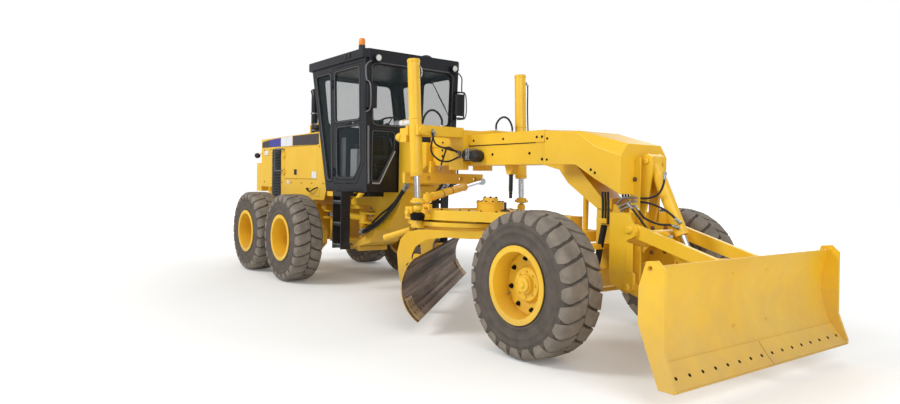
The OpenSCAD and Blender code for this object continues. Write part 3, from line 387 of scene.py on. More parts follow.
# %% [markdown]
# ### Metals
# Cylinder rods are hard chromed and polished. The mouldboard is bare steel that earth polishes and rain
# browns, with long scratches along its length. Bolts and treads are zinc plated. Each is a metal, so its
# colour is the colour of its reflection.

# %% Bare and plated metals
def bare_metal(name, first, second, rough_low, rough_high, size_mm, bump_mm=0.0):
    """A metal whose tone, roughness and small dents follow one noise."""
    material, tree, shader, place = new_material(name)
    cloud = clouds(tree, place, size_mm, 0.32, 0.68, detail=6.0, roughness=0.6)
    feed(tree, shader, {"Base Color": add(tree, "Mix", {0: cloud, 6: first, 7: second}, 2, data_type="RGBA"),
                        "Roughness": add(tree, "MapRange", {"Value": cloud, "To Min": rough_low, "To Max": rough_high}),
                        "Metallic": 1.0})
    if bump_mm:
        edges = add(tree, "Bevel", {"Radius": bare_edge_radius_mm / 1000}, samples=4)
        feed(tree, shader, {"Normal": add(tree, "Bump", relief(cloud, bump_mm, 0.6, Normal=edges))})
    return material


chrome_plate = bare_metal("chrome_plate", "#e3e6ea", "#cfd3d8", 0.08, 0.2, 60)
zinc_plate = bare_metal("zinc_plate", "#b9bcc0", "#8f9296", 0.3, 0.5, 25, 0.2)
cast_iron = bare_metal("cast_iron", "#3b3c3f", "#2a2b2d", 0.5, 0.7, 12, 0.5)
dark_bolt = bare_metal("blackened_steel", "#2f2e2d", "#1e1d1d", 0.4, 0.55, 20, 0.2)
greased_steel = bare_metal("greased_steel", "#5b5750", "#33302c", 0.25, 0.5, 30, 0.2)
mirror_glass = bare_metal("mirror_glass", "#dfe4e8", "#d5dade", 0.02, 0.05, 300)

blade_turn = math.radians(44.4)


def worn_steel(name, pale, brown):
    """Bare plate: brown rust film in clouds, long scratches that run with the blade, and polished patches."""
    material, tree, shader, place = new_material(name)
    straight = add(tree, "Mapping", {"Vector": place, "Rotation": (0, 0, -blade_turn)})
    fine, broad = (add(tree, "Mapping", {"Vector": straight, "Scale": (1, along, 1)}) for along in (0.01, 0.05))
    scratch = add(tree, "TexNoise", speckle(fine, 30, 5.0, 0.7))
    cloud = clouds(tree, broad, 120, 0.33, 0.68, detail=5.0, roughness=0.6)
    worn = add(tree, "Math", {0: cloud, 1: scratch}, operation="MULTIPLY")
    film = add(tree, "MapRange", {"Value": worn, "From Min": 0.08, "From Max": 0.5})
    edges = add(tree, "Bevel", {"Radius": bare_edge_radius_mm / 1000}, samples=4)
    feed(tree, shader, {"Base Color": add(tree, "Mix", {0: film, 6: brown, 7: pale}, 2, data_type="RGBA"),
                        "Roughness": add(tree, "MapRange", {"Value": film, "To Min": 0.62, "To Max": 0.4}),
                        "Metallic": 0.75, "Normal": add(tree, "Bump", relief(scratch, 0.6, 0.5, Normal=edges))})
    return material


blade_steel = worn_steel("worn_blade_steel", "#7b604a", "#35271e")
# The end bits' steel is pale because soil polishes it, and its tan is partly a painted sunlit reflection on that
# polish.
edge_steel_with_painted_sunlight = worn_steel("cutting_edge_steel", "#b09468", "#7d6444")

# %% [markdown]
# ### Glass and lamps
# The cab has tinted safety glass. From outside it looks dark because the cab is dark, so it is a thin pane
# that lets most light through and reflects the sky. Lamp lenses are clear or coloured plastic.

# %% Glass and lenses
def clear_solid(name, colour, rough, alpha):
    """A pane or lens: a tinted, smooth and partly see-through skin."""
    material, tree, shader, place = new_material(name)
    feed(tree, shader, {"Base Color": colour, "Roughness": clouds(tree, place, 150, 0.3, 0.7, rough, rough + 0.05),
                        "Alpha": alpha, "IOR": 1.5})
    return material


tinted_glass = clear_solid("tinted_safety_glass", "#2c3a3e", 0.02, 0.2)
lamp_lens = clear_solid("lamp_lens", "#eef0f2", 0.08, 0.85)
amber_lens = clear_solid("amber_lens", "#f08a12", 0.12, 0.95)
red_lens = clear_solid("red_lens", "#a81512", 0.15, 0.95)

# %% [markdown]
# ### Cab trim
# The seat is black vinyl with a fine grain, and the dashboard and levers are moulded black plastic.

# %% Vinyl and moulded plastic
def moulded(name, colour, deep, rough, grain_mm, depth_mm):
    """Plastic or vinyl: an even colour, a satin skin and a moulded grain."""
    material, tree, shader, place = new_material(name)
    drift = add(tree, "TexNoise", speckle(place, 80))
    grain = add(tree, "TexNoise", speckle(place, grain_mm, 2.0))
    feed(tree, shader, {"Base Color": add(tree, "Mix", {0: drift, 6: colour, 7: deep}, 2, data_type="RGBA"),
                        "Roughness": clouds(tree, place, 30, 0.3, 0.7, rough - 0.05, rough + 0.05),
                        "Normal": add(tree, "Bump", relief(grain, depth_mm, 0.5))})
    return material


seat_vinyl = moulded("seat_vinyl", "#1d1e21", "#141517", 0.55, 4, 0.5)
black_plastic = moulded("moulded_plastic", "#202124", "#191a1c", 0.45, 3, 0.2)

# %% [markdown]
# ## Dress the CAD nodes
# The record names a finish slot for each CAD piece. Each slot gets one of the materials above.

# %% Materials on the CAD pieces
slot_finish = {"paint": yellow_enamel, "cab_paint": black_enamel, "tyre": sidewall_rubber, "rod": chrome_plate,
               "blade_steel": blade_steel, "glass": tinted_glass, "cast": cast_iron, "seat": black_plastic}
for part in frame["record"]["subparts"]:
    finish = slot_finish[part["material_slot"]]
    if part["node"].startswith("rim_"):
        finish = wheel_enamel
    if part["node"] in ("circle_gear", "circle_pinion"):
        finish = greased_steel
    for material_slot in nodes[part["node"]].material_slots:
        material_slot.material = finish

# %% [markdown]
# ## Tyres
# A grader's tyre has chunky lugs that meet in a staggered pattern along the middle, so that mud is thrown out
# sideways. The carcass is a closed outline turned round the axle. Each lug is a wedge whose top follows the
# tread's crown and whose end runs down over the shoulder.

# %% Carcass and lugs
lug_count = 24
rim_radius = 0.3175


def torus(grid):
    """A skin that closes both ways: rings along the rows, and the last row meets the first."""
    rows, columns = grid.shape[:2]
    looped = np.concatenate([grid, grid[:1]])
    faces = np.array(grid_faces(rows + 1, columns)) % (rows * columns)
    return looped[:-1].reshape(-1, 3), faces.tolist()


def round_axle(radius, across, angle, centre, side):
    """Point = centre + radius times (cos, sin) of the angle in X and Z + across times the outward side."""
    radius, across, angle = np.broadcast_arrays(radius, across, angle)
    return np.stack([centre[0] + radius * np.cos(angle), centre[1] + side * across,
                     centre[2] + radius * np.sin(angle)], -1)


def carcass(centre, side):
    """The tyre's closed outline: tread base, rounded shoulder, sidewall with three rings, and bead."""
    r, w = tyre_radius, tyre_half_width
    half = [[r - 0.030, 0.0], [r - 0.031, w - 0.090], [r - 0.036, w - 0.050], [r - 0.050, w - 0.028],
            [r - 0.072, w - 0.014], [r - 0.078, w - 0.008], [r - 0.092, w - 0.006], [r - 0.096, w - 0.010],
            [r - 0.130, w - 0.003], [r - 0.134, w], [r - 0.142, w], [r - 0.146, w - 0.004],
            [r - 0.190, w - 0.004], [r - 0.194, w - 0.001], [r - 0.204, w - 0.002], [r - 0.208, w - 0.006],
            [rim_radius + 0.075, w - 0.010], [rim_radius + 0.071, w - 0.006], [rim_radius + 0.060, w - 0.010],
            [rim_radius + 0.046, w - 0.022], [rim_radius + 0.004, w - 0.034]]
    half = np.array(half)
    outline = np.concatenate([half, (half * [1, -1])[:0:-1]])
    angle = np.arange(96) * 2 * np.pi / 96
    return torus(round_axle(outline[None, :, 0], outline[None, :, 1], angle[:, None], centre, side))


def lugs(centre, side, hand):
    """Wedges: stations [top radius, top across, base radius, base across, sweep, half width] at each lug's angle.
    The sweep carries the inner end round by part of the pitch, which slants the lug."""
    r, w = tyre_radius, tyre_half_width
    low = r - 0.045
    station = np.array([
        [r - 0.001, 0.005, low, 0.003, 0.44, 0.74], [r - 0.001, 0.035, low, 0.035, 0.36, 0.80],
        [r - 0.002, 0.080, low, 0.080, 0.22, 0.82], [r - 0.005, w - 0.075, low, w - 0.078, 0.10, 0.83],
        [r - 0.012, w - 0.042, low, w - 0.055, 0.03, 0.83], [r - 0.024, w - 0.022, low - 0.01, w - 0.045, 0.0, 0.82],
        [r - 0.046, w - 0.009, low - 0.02, w - 0.040, 0.0, 0.78], [r - 0.085, w - 0.004, low - 0.05, w - 0.04, 0, 0.66],
        [r - 0.112, w - 0.005, r - 0.1, w - 0.035, 0.0, 0.50]])
    pitch = 2 * np.pi / lug_count
    skins = []
    for edge, offset in ((1, 0.0), (-1, 0.5)):
        start = (np.arange(lug_count) + offset) * pitch
        middle_angle = start[:, None] + hand * station[None, :, 4] * pitch
        half = station[None, :, 5] * pitch * 0.5
        base = half * 1.12
        corners = [round_axle(station[None, :, 2], edge * station[None, :, 3], middle_angle - base, centre, side),
                   round_axle(station[None, :, 0], edge * station[None, :, 1], middle_angle - half, centre, side),
                   round_axle(station[None, :, 0], edge * station[None, :, 1], middle_angle + half, centre, side),
                   round_axle(station[None, :, 2], edge * station[None, :, 3], middle_angle + base, centre, side)]
        rings = np.stack(corners, 2)
        skins += [shell(lug) for lug in rings]
    return skins


for name, centre in wheel_places.items():
    side = 1 if name.endswith("left") else -1
    body = f"wheel_{name}"
    piece(f"tyre_carcass_{name}", [carcass(centre, side)], sidewall_rubber, body, "tyre",
          replaces=[f"tyre_{name}"], sharp=50)
    piece(f"tyre_lugs_{name}", lugs(centre, side, 1), tread_rubber, body, "tyre", bevel=0.004)
print("six tyres with", 2 * lug_count, "lugs each")

# %% [markdown]
# Each wheel is held by eight nuts on studs round the hub, and has a tyre valve through the disc. A nut is a
# six-sided outline turned into a short bar, with a washer below and the stud's end above.

# %% Wheel nuts, hub caps and valves
nut_count = 8
nut_circle = 0.235
front_disc_out = 0.046
rear_disc_out = -0.054


def nut(centre, axis, across_flats=0.036, high=0.022, stud=0.012):
    """A hexagonal nut on a washer, with the end of its stud."""
    axis = np.asarray(axis, float)
    r = across_flats / math.sqrt(3)
    return [turned([[r * 1.25, 0], [r * 1.25, 0.004]], centre, axis, 20),
            turned([[r, 0.003], [r, high - 0.003], [r * 0.9, high]], centre, axis, 6),
            turned([[r * 0.5, 0.003], [r * 0.5, high + stud - 0.002], [r * 0.42, high + stud]], centre, axis, 12)]


for name, centre in wheel_places.items():
    side = 1 if name.endswith("left") else -1
    outward = np.array([0, side, 0.0])
    out = front_disc_out if name.startswith("front") else rear_disc_out
    nuts = []
    for turn in np.arange(nut_count) * 2 * np.pi / nut_count + 0.2:
        spot = round_axle(nut_circle, out, turn, centre, side)
        nuts += nut(spot, outward, 0.034)
    piece(f"wheel_nuts_{name}", nuts, dark_bolt, f"wheel_{name}", "cast")
    hub_face = centre + outward * (out + 0.064)
    cap = [turned([[0.07, -0.01], [0.07, 0.012], [0.064, 0.018], [0.03, 0.022], [0.028, 0.034], [0.012, 0.036]],
                  hub_face, outward, 32)]
    for turn in np.arange(nut_count) * 2 * np.pi / nut_count:
        cap += nut(round_axle(0.118, out + 0.034, turn, centre, side), outward, 0.018, 0.012, 0.0)
    piece(f"hub_cap_{name}", cap, wheel_enamel, f"wheel_{name}", "paint", bevel=0.002)
    valve_foot = round_axle(0.27, out - 0.02, math.radians(205), centre, side)
    stem = [valve_foot, valve_foot + outward * 0.04, valve_foot + outward * 0.075 + [0.012, 0, -0.006]]
    piece(f"tyre_valve_{name}", [pipe(stem, 0.006, 10, 8)], zinc_plate, f"wheel_{name}", "cast")
print("nuts, caps and valves on six wheels")

# %% [markdown]
# ## Helpers for fitted pieces
# Most trim is placed by lengths measured from the front axle, and most of it is on both sides of the machine.
# A flat plate is an outline pushed along one axis, and a hose is a tube with a crimped fitting at each end.

# %% Place, mirror and push out
slot_words = {"yellow": "paint", "film": "paint", "zinc": "cast", "blackened": "cast", "lens": "glass",
              "mirror": "glass", "steel": "blade_steel"}


def usual_slot(material):
    """The record's slot for a new piece, found by a word in its finish's name."""
    return next((slot for word, slot in slot_words.items() if word in material.name), "cab_paint")


def fitted(name, surfaces, material, body="front_frame", slot="usual", **more):
    """Makes a piece of skins whose points are measured from the front axle."""
    surfaces = [(from_axle(points), faces) for points, faces in surfaces]
    return piece(name, surfaces, material, body, usual_slot(material) if slot == "usual" else slot, **more)


def mirrored(surfaces):
    """The same skins on the machine's other side: each point's y changes sign."""
    return [(points * np.array([1, -1, 1]), faces) for points, faces in surfaces]


def both(surfaces):
    """The skins and their mirror images."""
    return surfaces + mirrored(surfaces)


def each_hand(name, surfaces, material, body="front_frame", **more):
    """The skins as a piece for the right, and their mirror images as one for the left."""
    for hand, skins in (("right", surfaces), ("left", mirrored(surfaces))):
        fitted(f"{name}_{hand}", skins, material, body.format(hand=hand), **more)


def rectangle(x, y, far_x, far_y):
    """A four-cornered outline between two opposite corners."""
    return [[x, y], [far_x, y], [far_x, far_y], [x, far_y]]


def round_spots(centre, radius, count, start=0.0, plane=(0, 1)):
    """Spots at equal angles: centre + radius times the cosine and the sine of the angle on two of the axes."""
    spots = np.tile(np.asarray(centre, float), (count, 1))
    spots[:, plane] += ring(radius, count, start)
    return spots


def plate(outline, start, end, axis="y"):
    """A flat plate: the same outline in the other two axes, at the start and at the end along one axis."""
    at = "xyz".index(axis)
    grid = np.insert(np.stack([outline, outline]).astype(float), at, 0.0, axis=2)
    grid[0, :, at] = start
    grid[1, :, at] = end
    return shell(grid)


def bolt_heads(spots, axis, across_flats=0.024, high=0.012):
    """Hexagonal heads on washers at several spots, all along one axis."""
    r = across_flats / math.sqrt(3)
    heads = []
    for spot in np.asarray(spots, float):
        heads.append(turned([[r * 1.3, -0.002], [r * 1.3, 0.003]], spot, axis, 16))
        heads.append(turned([[r, 0.002], [r, high * 0.85], [r * 0.88, high]], spot, axis, 6))
    return heads


def hollow(profile, centre, axis, steps=40):
    """Turns a closed profile of [radius, height] round an axis, so that what runs through the middle stays free."""
    points, _ = turned(profile, centre, axis, steps)
    return torus(points.reshape(len(profile), steps, 3).transpose(1, 0, 2))


# %% [markdown]
# A closed outline with rounded corners is made of short quadratic curves, one for each corner. A window rubber
# is the band between a sharp outline, which is the opening in the steel, and a smaller rounded one.

# %% Rounded outlines and bands
bend_points = 7


def rounded(corners, radius):
    """Bends at corners: point = (1 - t)^2 start + 2 t (1 - t) corner + t^2 end, radius away on both sides."""
    corners = np.asarray(corners, float)
    back = np.roll(corners, 1, 0) - corners
    ahead = np.roll(corners, -1, 0) - corners
    start = corners + radius * back / np.linalg.norm(back, axis=1)[:, None]
    end = corners + radius * ahead / np.linalg.norm(ahead, axis=1)[:, None]
    t = np.linspace(0, 1, bend_points)[None, :, None]
    bend = (1 - t)**2 * start[:, None] + 2 * t * (1 - t) * corners[:, None] + t**2 * end[:, None]
    return bend.reshape(-1, 2)


def inset(corners, depth):
    """Moves each side inwards: corner + depth times (n1 + n2) / (1 + n1 . n2), with the inward normals n."""
    corners = np.asarray(corners, float)
    ahead = np.roll(corners, -1, 0) - corners
    ahead /= np.linalg.norm(ahead, axis=1)[:, None]
    x, y = corners.T
    way = np.sign(np.sum(x * np.roll(y, -1) - y * np.roll(x, -1)))
    normal = way * np.column_stack([-ahead[:, 1], ahead[:, 0]])
    before = np.roll(normal, 1, 0)
    return corners + depth * (normal + before) / (1 + np.sum(normal * before, axis=1))[:, None]


def band(corners, onto, lap, width, radius, deep, proud=0.005):
    """A rubber band round a window: rings at six [share of the width, depth], carried round the outline."""
    outer = rounded(inset(corners, -lap), 0.006)
    inner = rounded(inset(corners, width), radius)
    rings = [onto(np.column_stack([outer + share * (inner - outer), np.full(len(outer), depth)]))
             for share, depth in ((0, 0.0), (0.15, -proud), (0.85, -proud), (1, 0.0), (1, deep), (0, deep))]
    return torus(np.stack(rings, 1))


def bead(corners, onto, depth, radius, bend):
    """A round strip along a rounded outline. Its section turns round the tangent and the line into the surface."""
    loop = rounded(corners, bend)
    here = onto(np.column_stack([loop, np.full(len(loop), depth)]))
    inwards = onto(np.column_stack([loop, np.full(len(loop), depth + 1.0)])) - here
    tangent = np.roll(here, -1, 0) - np.roll(here, 1, 0)
    tangent /= np.linalg.norm(tangent, axis=1)[:, None]
    side = np.cross(inwards, tangent)
    section = ring(radius, 6)
    return torus(here[:, None] + section[None, :, 0, None] * side[:, None]
                 + section[None, :, 1, None] * inwards[:, None])


# %% [markdown]
# ### Grey and printed finishes
# Small tubes and filler strips are satin grey. The stripes on the hood are printed vinyl film, which is
# smoother than the enamel round it and has crisp edges. Plates and signs are plain.

# %% Satin grey and vinyl film
satin_grey = sprayed("satin_grey_enamel", "#6c6e74", "#585a60", 0.6, 0.4, 0.3)
dark_film = sprayed("vinyl_film_dark", "#3a3136", "#342c31", 0.7, 0.3, 0.3)
white_film = sprayed("vinyl_film_white", "#e4e6ec", "#dcdfe6", 0.7, 0.3, 0.3)
blue_film = sprayed("vinyl_film_blue", "#38389a", "#323290", 0.7, 0.3, 0.3)

# %% [markdown]
# ## Cab windows
# The cab's panes sit in black rubbers with a grey filler strip. The rubbers round the corners off, which the
# square holes in the steel don't show. Each rubber is a band carried round its window, in that wall's own place.

# %% The cab's walls
cab_low = 1.42
cab_floor_half = 0.75
wall_lean = math.atan((0.80 - cab_floor_half) / (3.300 - 1.470))
back_lean = math.atan(0.420 / 1.830)
windscreen_x = -3.66
back_wall_x = -4.9185


def on_right_wall(local):
    """Local x, height along the wall and depth inwards, placed in the right wall, which leans out upwards."""
    x, h, depth = np.moveaxis(local, -1, 0)
    cos, sin = math.cos(wall_lean), math.sin(wall_lean)
    return np.stack([x, depth * cos - h * sin - cab_floor_half, cab_low + depth * sin + h * cos], -1)


def on_front_wall(local):
    """Local y, height above the ground and depth inwards, placed in the front wall."""
    y, z, depth = np.moveaxis(local, -1, 0)
    return np.stack([windscreen_x - depth, y, z], -1)


def on_back_wall(local):
    """Local y, height along the wall and depth inwards, placed in the back wall, which leans back upwards."""
    y, h, depth = np.moveaxis(local, -1, 0)
    cos, sin = math.cos(back_lean), math.sin(back_lean)
    return np.stack([back_wall_x + depth * cos - h * sin, y, cab_low + depth * sin + h * cos], -1)


# %% Rubbers and filler strips
door_windows = [rectangle(-4.600, 0.999, -3.820, 1.770),
                [[-4.560, 0.180], [-4.010, 0.180], [-3.820, 0.410], [-3.820, 0.956], [-4.560, 0.956]]]
quarter_window = [[-4.700, 0.140], [-4.700, 1.770], [-5.235, 1.770], [-4.861, 0.140]]
windscreen = [[-0.690, 2.340], [0.690, 2.340], [0.715, 3.225], [-0.715, 3.225]]
knee_window = [[-0.690, 1.560], [-0.560, 1.560], [-0.300, 2.040], [-0.300, 2.290], [-0.690, 2.290]]
back_window = rectangle(-0.640, 1.000, 0.640, 1.820)


rubber_lap, rubber_width, rubber_depth = 0.014, 0.032, 0.020


def window_trim(windows, onto, bend):
    """The bands and the filler strips of several windows in one wall."""
    bands = [band(corners, onto, rubber_lap, rubber_width, bend, rubber_depth) for corners in windows]
    strips = [bead(inset(corners, rubber_width * 0.45), onto, -0.004, 0.0045, bend) for corners in windows]
    return bands, strips


def side_trim(name, windows, onto, body, bend=0.07):
    """A piece of rubber and a piece of strip for the right side, and their mirror images for the left."""
    bands, strips = window_trim(windows, onto, bend)
    each_hand(f"{name}_rubbers", bands, seal_rubber, body, sharp=50)
    each_hand(f"{name}_strips", strips, satin_grey, body)


side_trim("door", door_windows, on_right_wall, "cab_door_{hand}")
side_trim("quarter", [quarter_window], on_right_wall, "front_frame", 0.06)
side_trim("knee", [knee_window], on_front_wall, "front_frame", 0.035)
for name, window, onto in (("windscreen", windscreen, on_front_wall), ("back", back_window, on_back_wall)):
    bands, strips = window_trim([window], onto, 0.09)
    fitted(f"{name}_rubber", bands, seal_rubber, sharp=50)
    fitted(f"{name}_strip", strips, satin_grey)
print("rubbers round", 2 * len(door_windows) + 6, "windows")

# %% [markdown]
# ## Cab doors and roof
# Each door has a pull handle on the bar between its panes, with a key lock beside it. The roof carries round
# work lamps at its front and rear edges, two marker boxes on each side and a low aerial puck. A grey tube
# under the front fascia is a painted highlight along its lower edge. The beacon's foot and dome are CAD shapes,
# and an amber lens with ribs goes over the dome.

# %% Door handles
handle_h = 0.978
handle_path = on_right_wall(np.array([[-4.235, handle_h, 0.0], [-4.225, handle_h, -0.022], [-4.19, handle_h, -0.034],
                                      [-4.12, handle_h, -0.034], [-4.085, handle_h, -0.022],
                                      [-4.075, handle_h, 0.0]]))
handle = [pipe(handle_path, 0.008, 10, 24)]
lock_out = np.array([0, -math.cos(wall_lean), math.sin(wall_lean)])
lock_foot = on_right_wall(np.array([[-4.03, handle_h, 0.0]]))[0]
lock = [turned([[0.016, -0.002], [0.016, 0.006], [0.013, 0.009], [0.005, 0.009], [0.004, 0.006]], lock_foot,
               lock_out, 24)]
each_hand("door_handle", handle, black_plastic, "cab_door_{hand}")
each_hand("door_lock", lock, zinc_plate, "cab_door_{hand}")


# %% Work lamps
def lamp_case(centre, way):
    """A round lamp case with a rim and a short foot, turned round the way that it shines."""
    return turned([[0.020, -0.052], [0.034, -0.046], [0.044, -0.016], [0.050, 0.004], [0.050, 0.012], [0.044, 0.014],
                   [0.043, 0.004]], centre, way, 32)


def lamp_front(centre, way):
    """A slightly domed lens in the case."""
    return turned([[0.0435, 0.002], [0.0435, 0.009], [0.030, 0.014], [0.012, 0.016]], centre, way, 32)


front_lamps = [np.array([-3.575, -0.644, 3.272]), np.array([-3.575, 0.665, 3.273])]
back_lamps = [np.array([-5.490, y, 3.330]) for y in (-0.62, 0.62)]
cases, fronts = [], []
for spots, way in ((front_lamps, (1, 0, -0.15)), (back_lamps, (-1, 0, -0.15))):
    for spot in spots:
        cases.append(lamp_case(spot, way))
        fronts.append(lamp_front(spot, way))
        foot = spot - np.array(way, float) * 0.03
        cases.append(pipe([foot, foot - np.array([way[0], 0, 0]) * 0.02 + [0, 0, 0.010],
                           foot - np.array([way[0], 0, 0]) * 0.045 + [0, 0, 0.020]], 0.010, 10))
fitted("work_lamp_cases", cases, black_plastic)
fitted("work_lamp_lenses", fronts, lamp_lens)

# %% Roof trim
roof_top = 3.395
roof_half = 0.833
boxes = [block([x, -roof_half - 0.014, 3.312], [x + 0.072, -roof_half + 0.004, 3.382]) for x in (-4.21, -4.11)]
fitted("roof_marker_boxes", both(boxes), black_plastic, bevel=0.004)
puck = [turned([[0.085, -0.003], [0.085, 0.010], [0.070, 0.026], [0.040, 0.038], [0.014, 0.041]],
               [-3.72, 0.245, roof_top], (0, 0, 1), 32)]
fitted("roof_puck", puck, black_plastic)
puck_spot = [turned([[0.020, 0.0], [0.018, 0.006], [0.010, 0.009]], [-3.72, 0.245, roof_top + 0.040], (0, 0, 1), 20)]
fitted("roof_puck_spot", puck_spot, white_film, "front_frame", "cab_paint")
# A satin grey tube along the front fascia's lower edge paints the highlight that this edge catches; it is no rail.
fascia_highlight_path = [[-3.616, -0.60, 3.214], [-3.616, 0.60, 3.214]]
fitted("roof_drip_rail", [pipe(fascia_highlight_path, 0.006, 8, 12)], satin_grey)
beacon_place = np.array([-3.790, -0.785, roof_top])
lens = [turned([[0.0425, 0.060], [0.0425, 0.134], [0.038, 0.146], [0.030, 0.1525], [0.012, 0.1545]], beacon_place,
               (0, 0, 1), 48)]
lens += [pipe([beacon_place + [*rib, 0.066], beacon_place + [*rib, 0.130]], 0.0022, 6, 4) for rib in ring(0.0422, 12)]
fitted("beacon_lens", lens, amber_lens)
foot_ring = [turned([[0.0475, 0.046], [0.0475, 0.056]], beacon_place, (0, 0, 1), 40)]
fitted("beacon_clamp", foot_ring, black_plastic, bevel=0.001)
print("lamps, handles and roof trim")

# %% [markdown]
# Grab tubes run down both front posts, and one wiper rests on the windscreen. A bent tube holds each mirror,
# which has a flat glass behind, in a pale rim. The wiper's blade is a thin rubber under a bent arm.

# %% Grab tubes, wipers and mirrors
upper_grab = [[-3.618, -0.735, 3.225], [-3.600, -0.748, 3.216], [-3.600, -0.790, 3.190], [-3.600, -0.822, 3.140],
              [-3.600, -0.822, 3.040], [-3.590, -0.815, 2.960], [-3.576, -0.805, 2.930]]
lower_grab = [[-3.660, -0.740, 2.330], [-3.610, -0.765, 2.320], [-3.590, -0.775, 2.260], [-3.590, -0.772, 2.000],
              [-3.590, -0.762, 1.620], [-3.600, -0.755, 1.560], [-3.660, -0.730, 1.545]]
grabs = [pipe(upper_grab, 0.010, 10, 40), pipe(lower_grab, 0.013, 12, 50)]
fitted("cab_grab_tubes", both(grabs), satin_grey)

wiper_foot = np.array([-3.652, 0.300, 3.040])
wiper_tip = np.array([-3.648, 0.555, 2.667])
along = (wiper_tip - wiper_foot) / np.linalg.norm(wiper_tip - wiper_foot)
arm = [pipe([wiper_foot, wiper_foot + [0.016, 0, 0], wiper_foot + along * 0.06 + [0.020, 0, 0],
             wiper_tip + [0.014, 0, 0]], 0.007, 8, 20),
       turned([[0.022, -0.006], [0.022, 0.012], [0.014, 0.020]], wiper_foot, (1, 0, 0), 20)]
blade = [pipe([wiper_tip - along * 0.24 + [0.004, 0.0, 0.0], wiper_tip + [0.006, 0, 0],
               wiper_tip + along * 0.22 + [0.004, 0, 0]], 0.006, 6, 16)]
fitted("wiper_arms", arm, black_plastic)
fitted("wiper_blades", blade, seal_rubber)

mirror_outline = rectangle(0.682, 2.596, 0.833, 2.860)
mirror_back_x = -3.604


def on_mirror(local):
    """Local y, height and depth forwards, placed on the rear side of a mirror's case."""
    y, z, depth = np.moveaxis(local, -1, 0)
    return np.stack([mirror_back_x + depth, y, z], -1)


mirror_loop = rounded(inset(mirror_outline, 0.008), 0.02)
glass = [plate(mirror_loop, mirror_back_x - 0.002, mirror_back_x + 0.004, "x")]
fitted("mirror_glasses", both(glass), mirror_glass)
rims = [band(mirror_outline, on_mirror, 0.006, 0.012, 0.02, 0.012, 0.004)]
fitted("mirror_rims", both(rims), satin_grey)
loop = [[-3.650, -0.795, 2.930], [-3.560, -0.812, 2.934], [-3.500, -0.815, 2.900], [-3.472, -0.815, 2.800],
        [-3.468, -0.815, 2.620], [-3.500, -0.815, 2.545], [-3.560, -0.812, 2.530], [-3.650, -0.785, 2.530]]
fitted("mirror_loops", both([pipe(loop, 0.009, 10, 50)]), satin_grey)
print("grab tubes, wiper and mirrors")

# %% [markdown]
# ## Hood
# The band along the hood's top is vinyl film: dark, white, blue and dark again. Below it are the panel seam,
# the door's sunk latch, blank labels, and a black louvred strip with a rail before the cooler. Thin film is a
# plate a few millimetres thick, so that it never fights with the sheet.

# %% Stripes, skirts and labels
hood_half = 0.600
band_low = 2.163
stripes = {"front": (dark_film, [[-6.541, band_low], [-5.500, band_low - 0.012], [-5.505, 2.331], [-6.541, 2.331]]),
           "white": (white_film, [[-7.064, band_low], [-6.560, band_low], [-6.560, 2.331], [-7.064, 2.320]]),
           "blue": (blue_film, [[-7.612, band_low], [-7.068, band_low], [-7.068, 2.320], [-7.612, 2.300]]),
           "rear": (dark_film, [[-7.965, band_low], [-7.616, band_low], [-7.616, 2.300], [-7.965, 2.270]])}
for name, (film, outline) in stripes.items():
    fitted(f"hood_stripe_{name}", both([plate(outline, -hood_half - 0.0025, -hood_half + 0.001)]), film,
           "rear_frame")
skirt = rounded([[-7.030, 1.250], [-5.300, 1.250], [-5.200, 1.470], [-7.030, 1.470]], 0.03)
fitted("hood_skirts", both([plate(skirt, -hood_half - 0.001, -hood_half + 0.014)]), yellow_enamel,
       "rear_frame", bevel=0.003)
press = rounded(rectangle(-5.880, 1.310, -5.450, 1.460), 0.03)
fitted("hood_pressed_panels", both([plate(press, -hood_half - 0.008, -hood_half)]), yellow_enamel,
       "rear_frame", bevel=0.004)
hook = [[-5.860, -hood_half - 0.008, 1.425], [-5.850, -hood_half - 0.05, 1.430], [-5.700, -hood_half - 0.065, 1.385],
        [-5.560, -hood_half - 0.05, 1.430], [-5.520, -hood_half - 0.02, 1.450], [-5.500, -hood_half - 0.006, 1.452]]
fitted("hood_pull_hooks", both([pipe(hook, 0.011, 10, 30)]), dark_bolt, "rear_frame")
door_label = [plate(rectangle(-5.755, 1.600, -5.585, 1.712), -0.602, -0.599)]
low_label = [plate(rectangle(-6.776, 1.500, -6.690, 1.556), -0.602, -0.599)]
each_hand("door_label", door_label, white_film, "hood_door_{hand}")
fitted("hood_labels", both(low_label), white_film, "rear_frame")


# %% Latches, seams and bolts
latch_plate = rounded(rectangle(-6.470, 1.655, -6.360, 1.753), 0.012)
latch = [plate(latch_plate, -0.605, -0.598), block([-6.445, -0.612, 1.690], [-6.385, -0.604, 1.718])]
each_hand("hood_latch", latch, black_plastic, "hood_door_{hand}", bevel=0.003)
seam_bolts = [[x, -hood_half, 1.520] for x in np.arange(-7.85, -5.3, 0.42)]
seam_bolts += [[x, -hood_half, 2.120] for x in (-7.85, -7.55, -7.0, -5.48)]
fitted("hood_bolts", both(bolt_heads(seam_bolts, (0, -1, 0), 0.016, 0.007)), dark_bolt, "rear_frame")
reflector = [plate(rounded(rectangle(-7.83, 2.02, -7.66, 2.105), 0.01), -0.612, -0.599)]
fitted("hood_reflectors", both(reflector), white_film, "rear_frame", "glass", bevel=0.003)

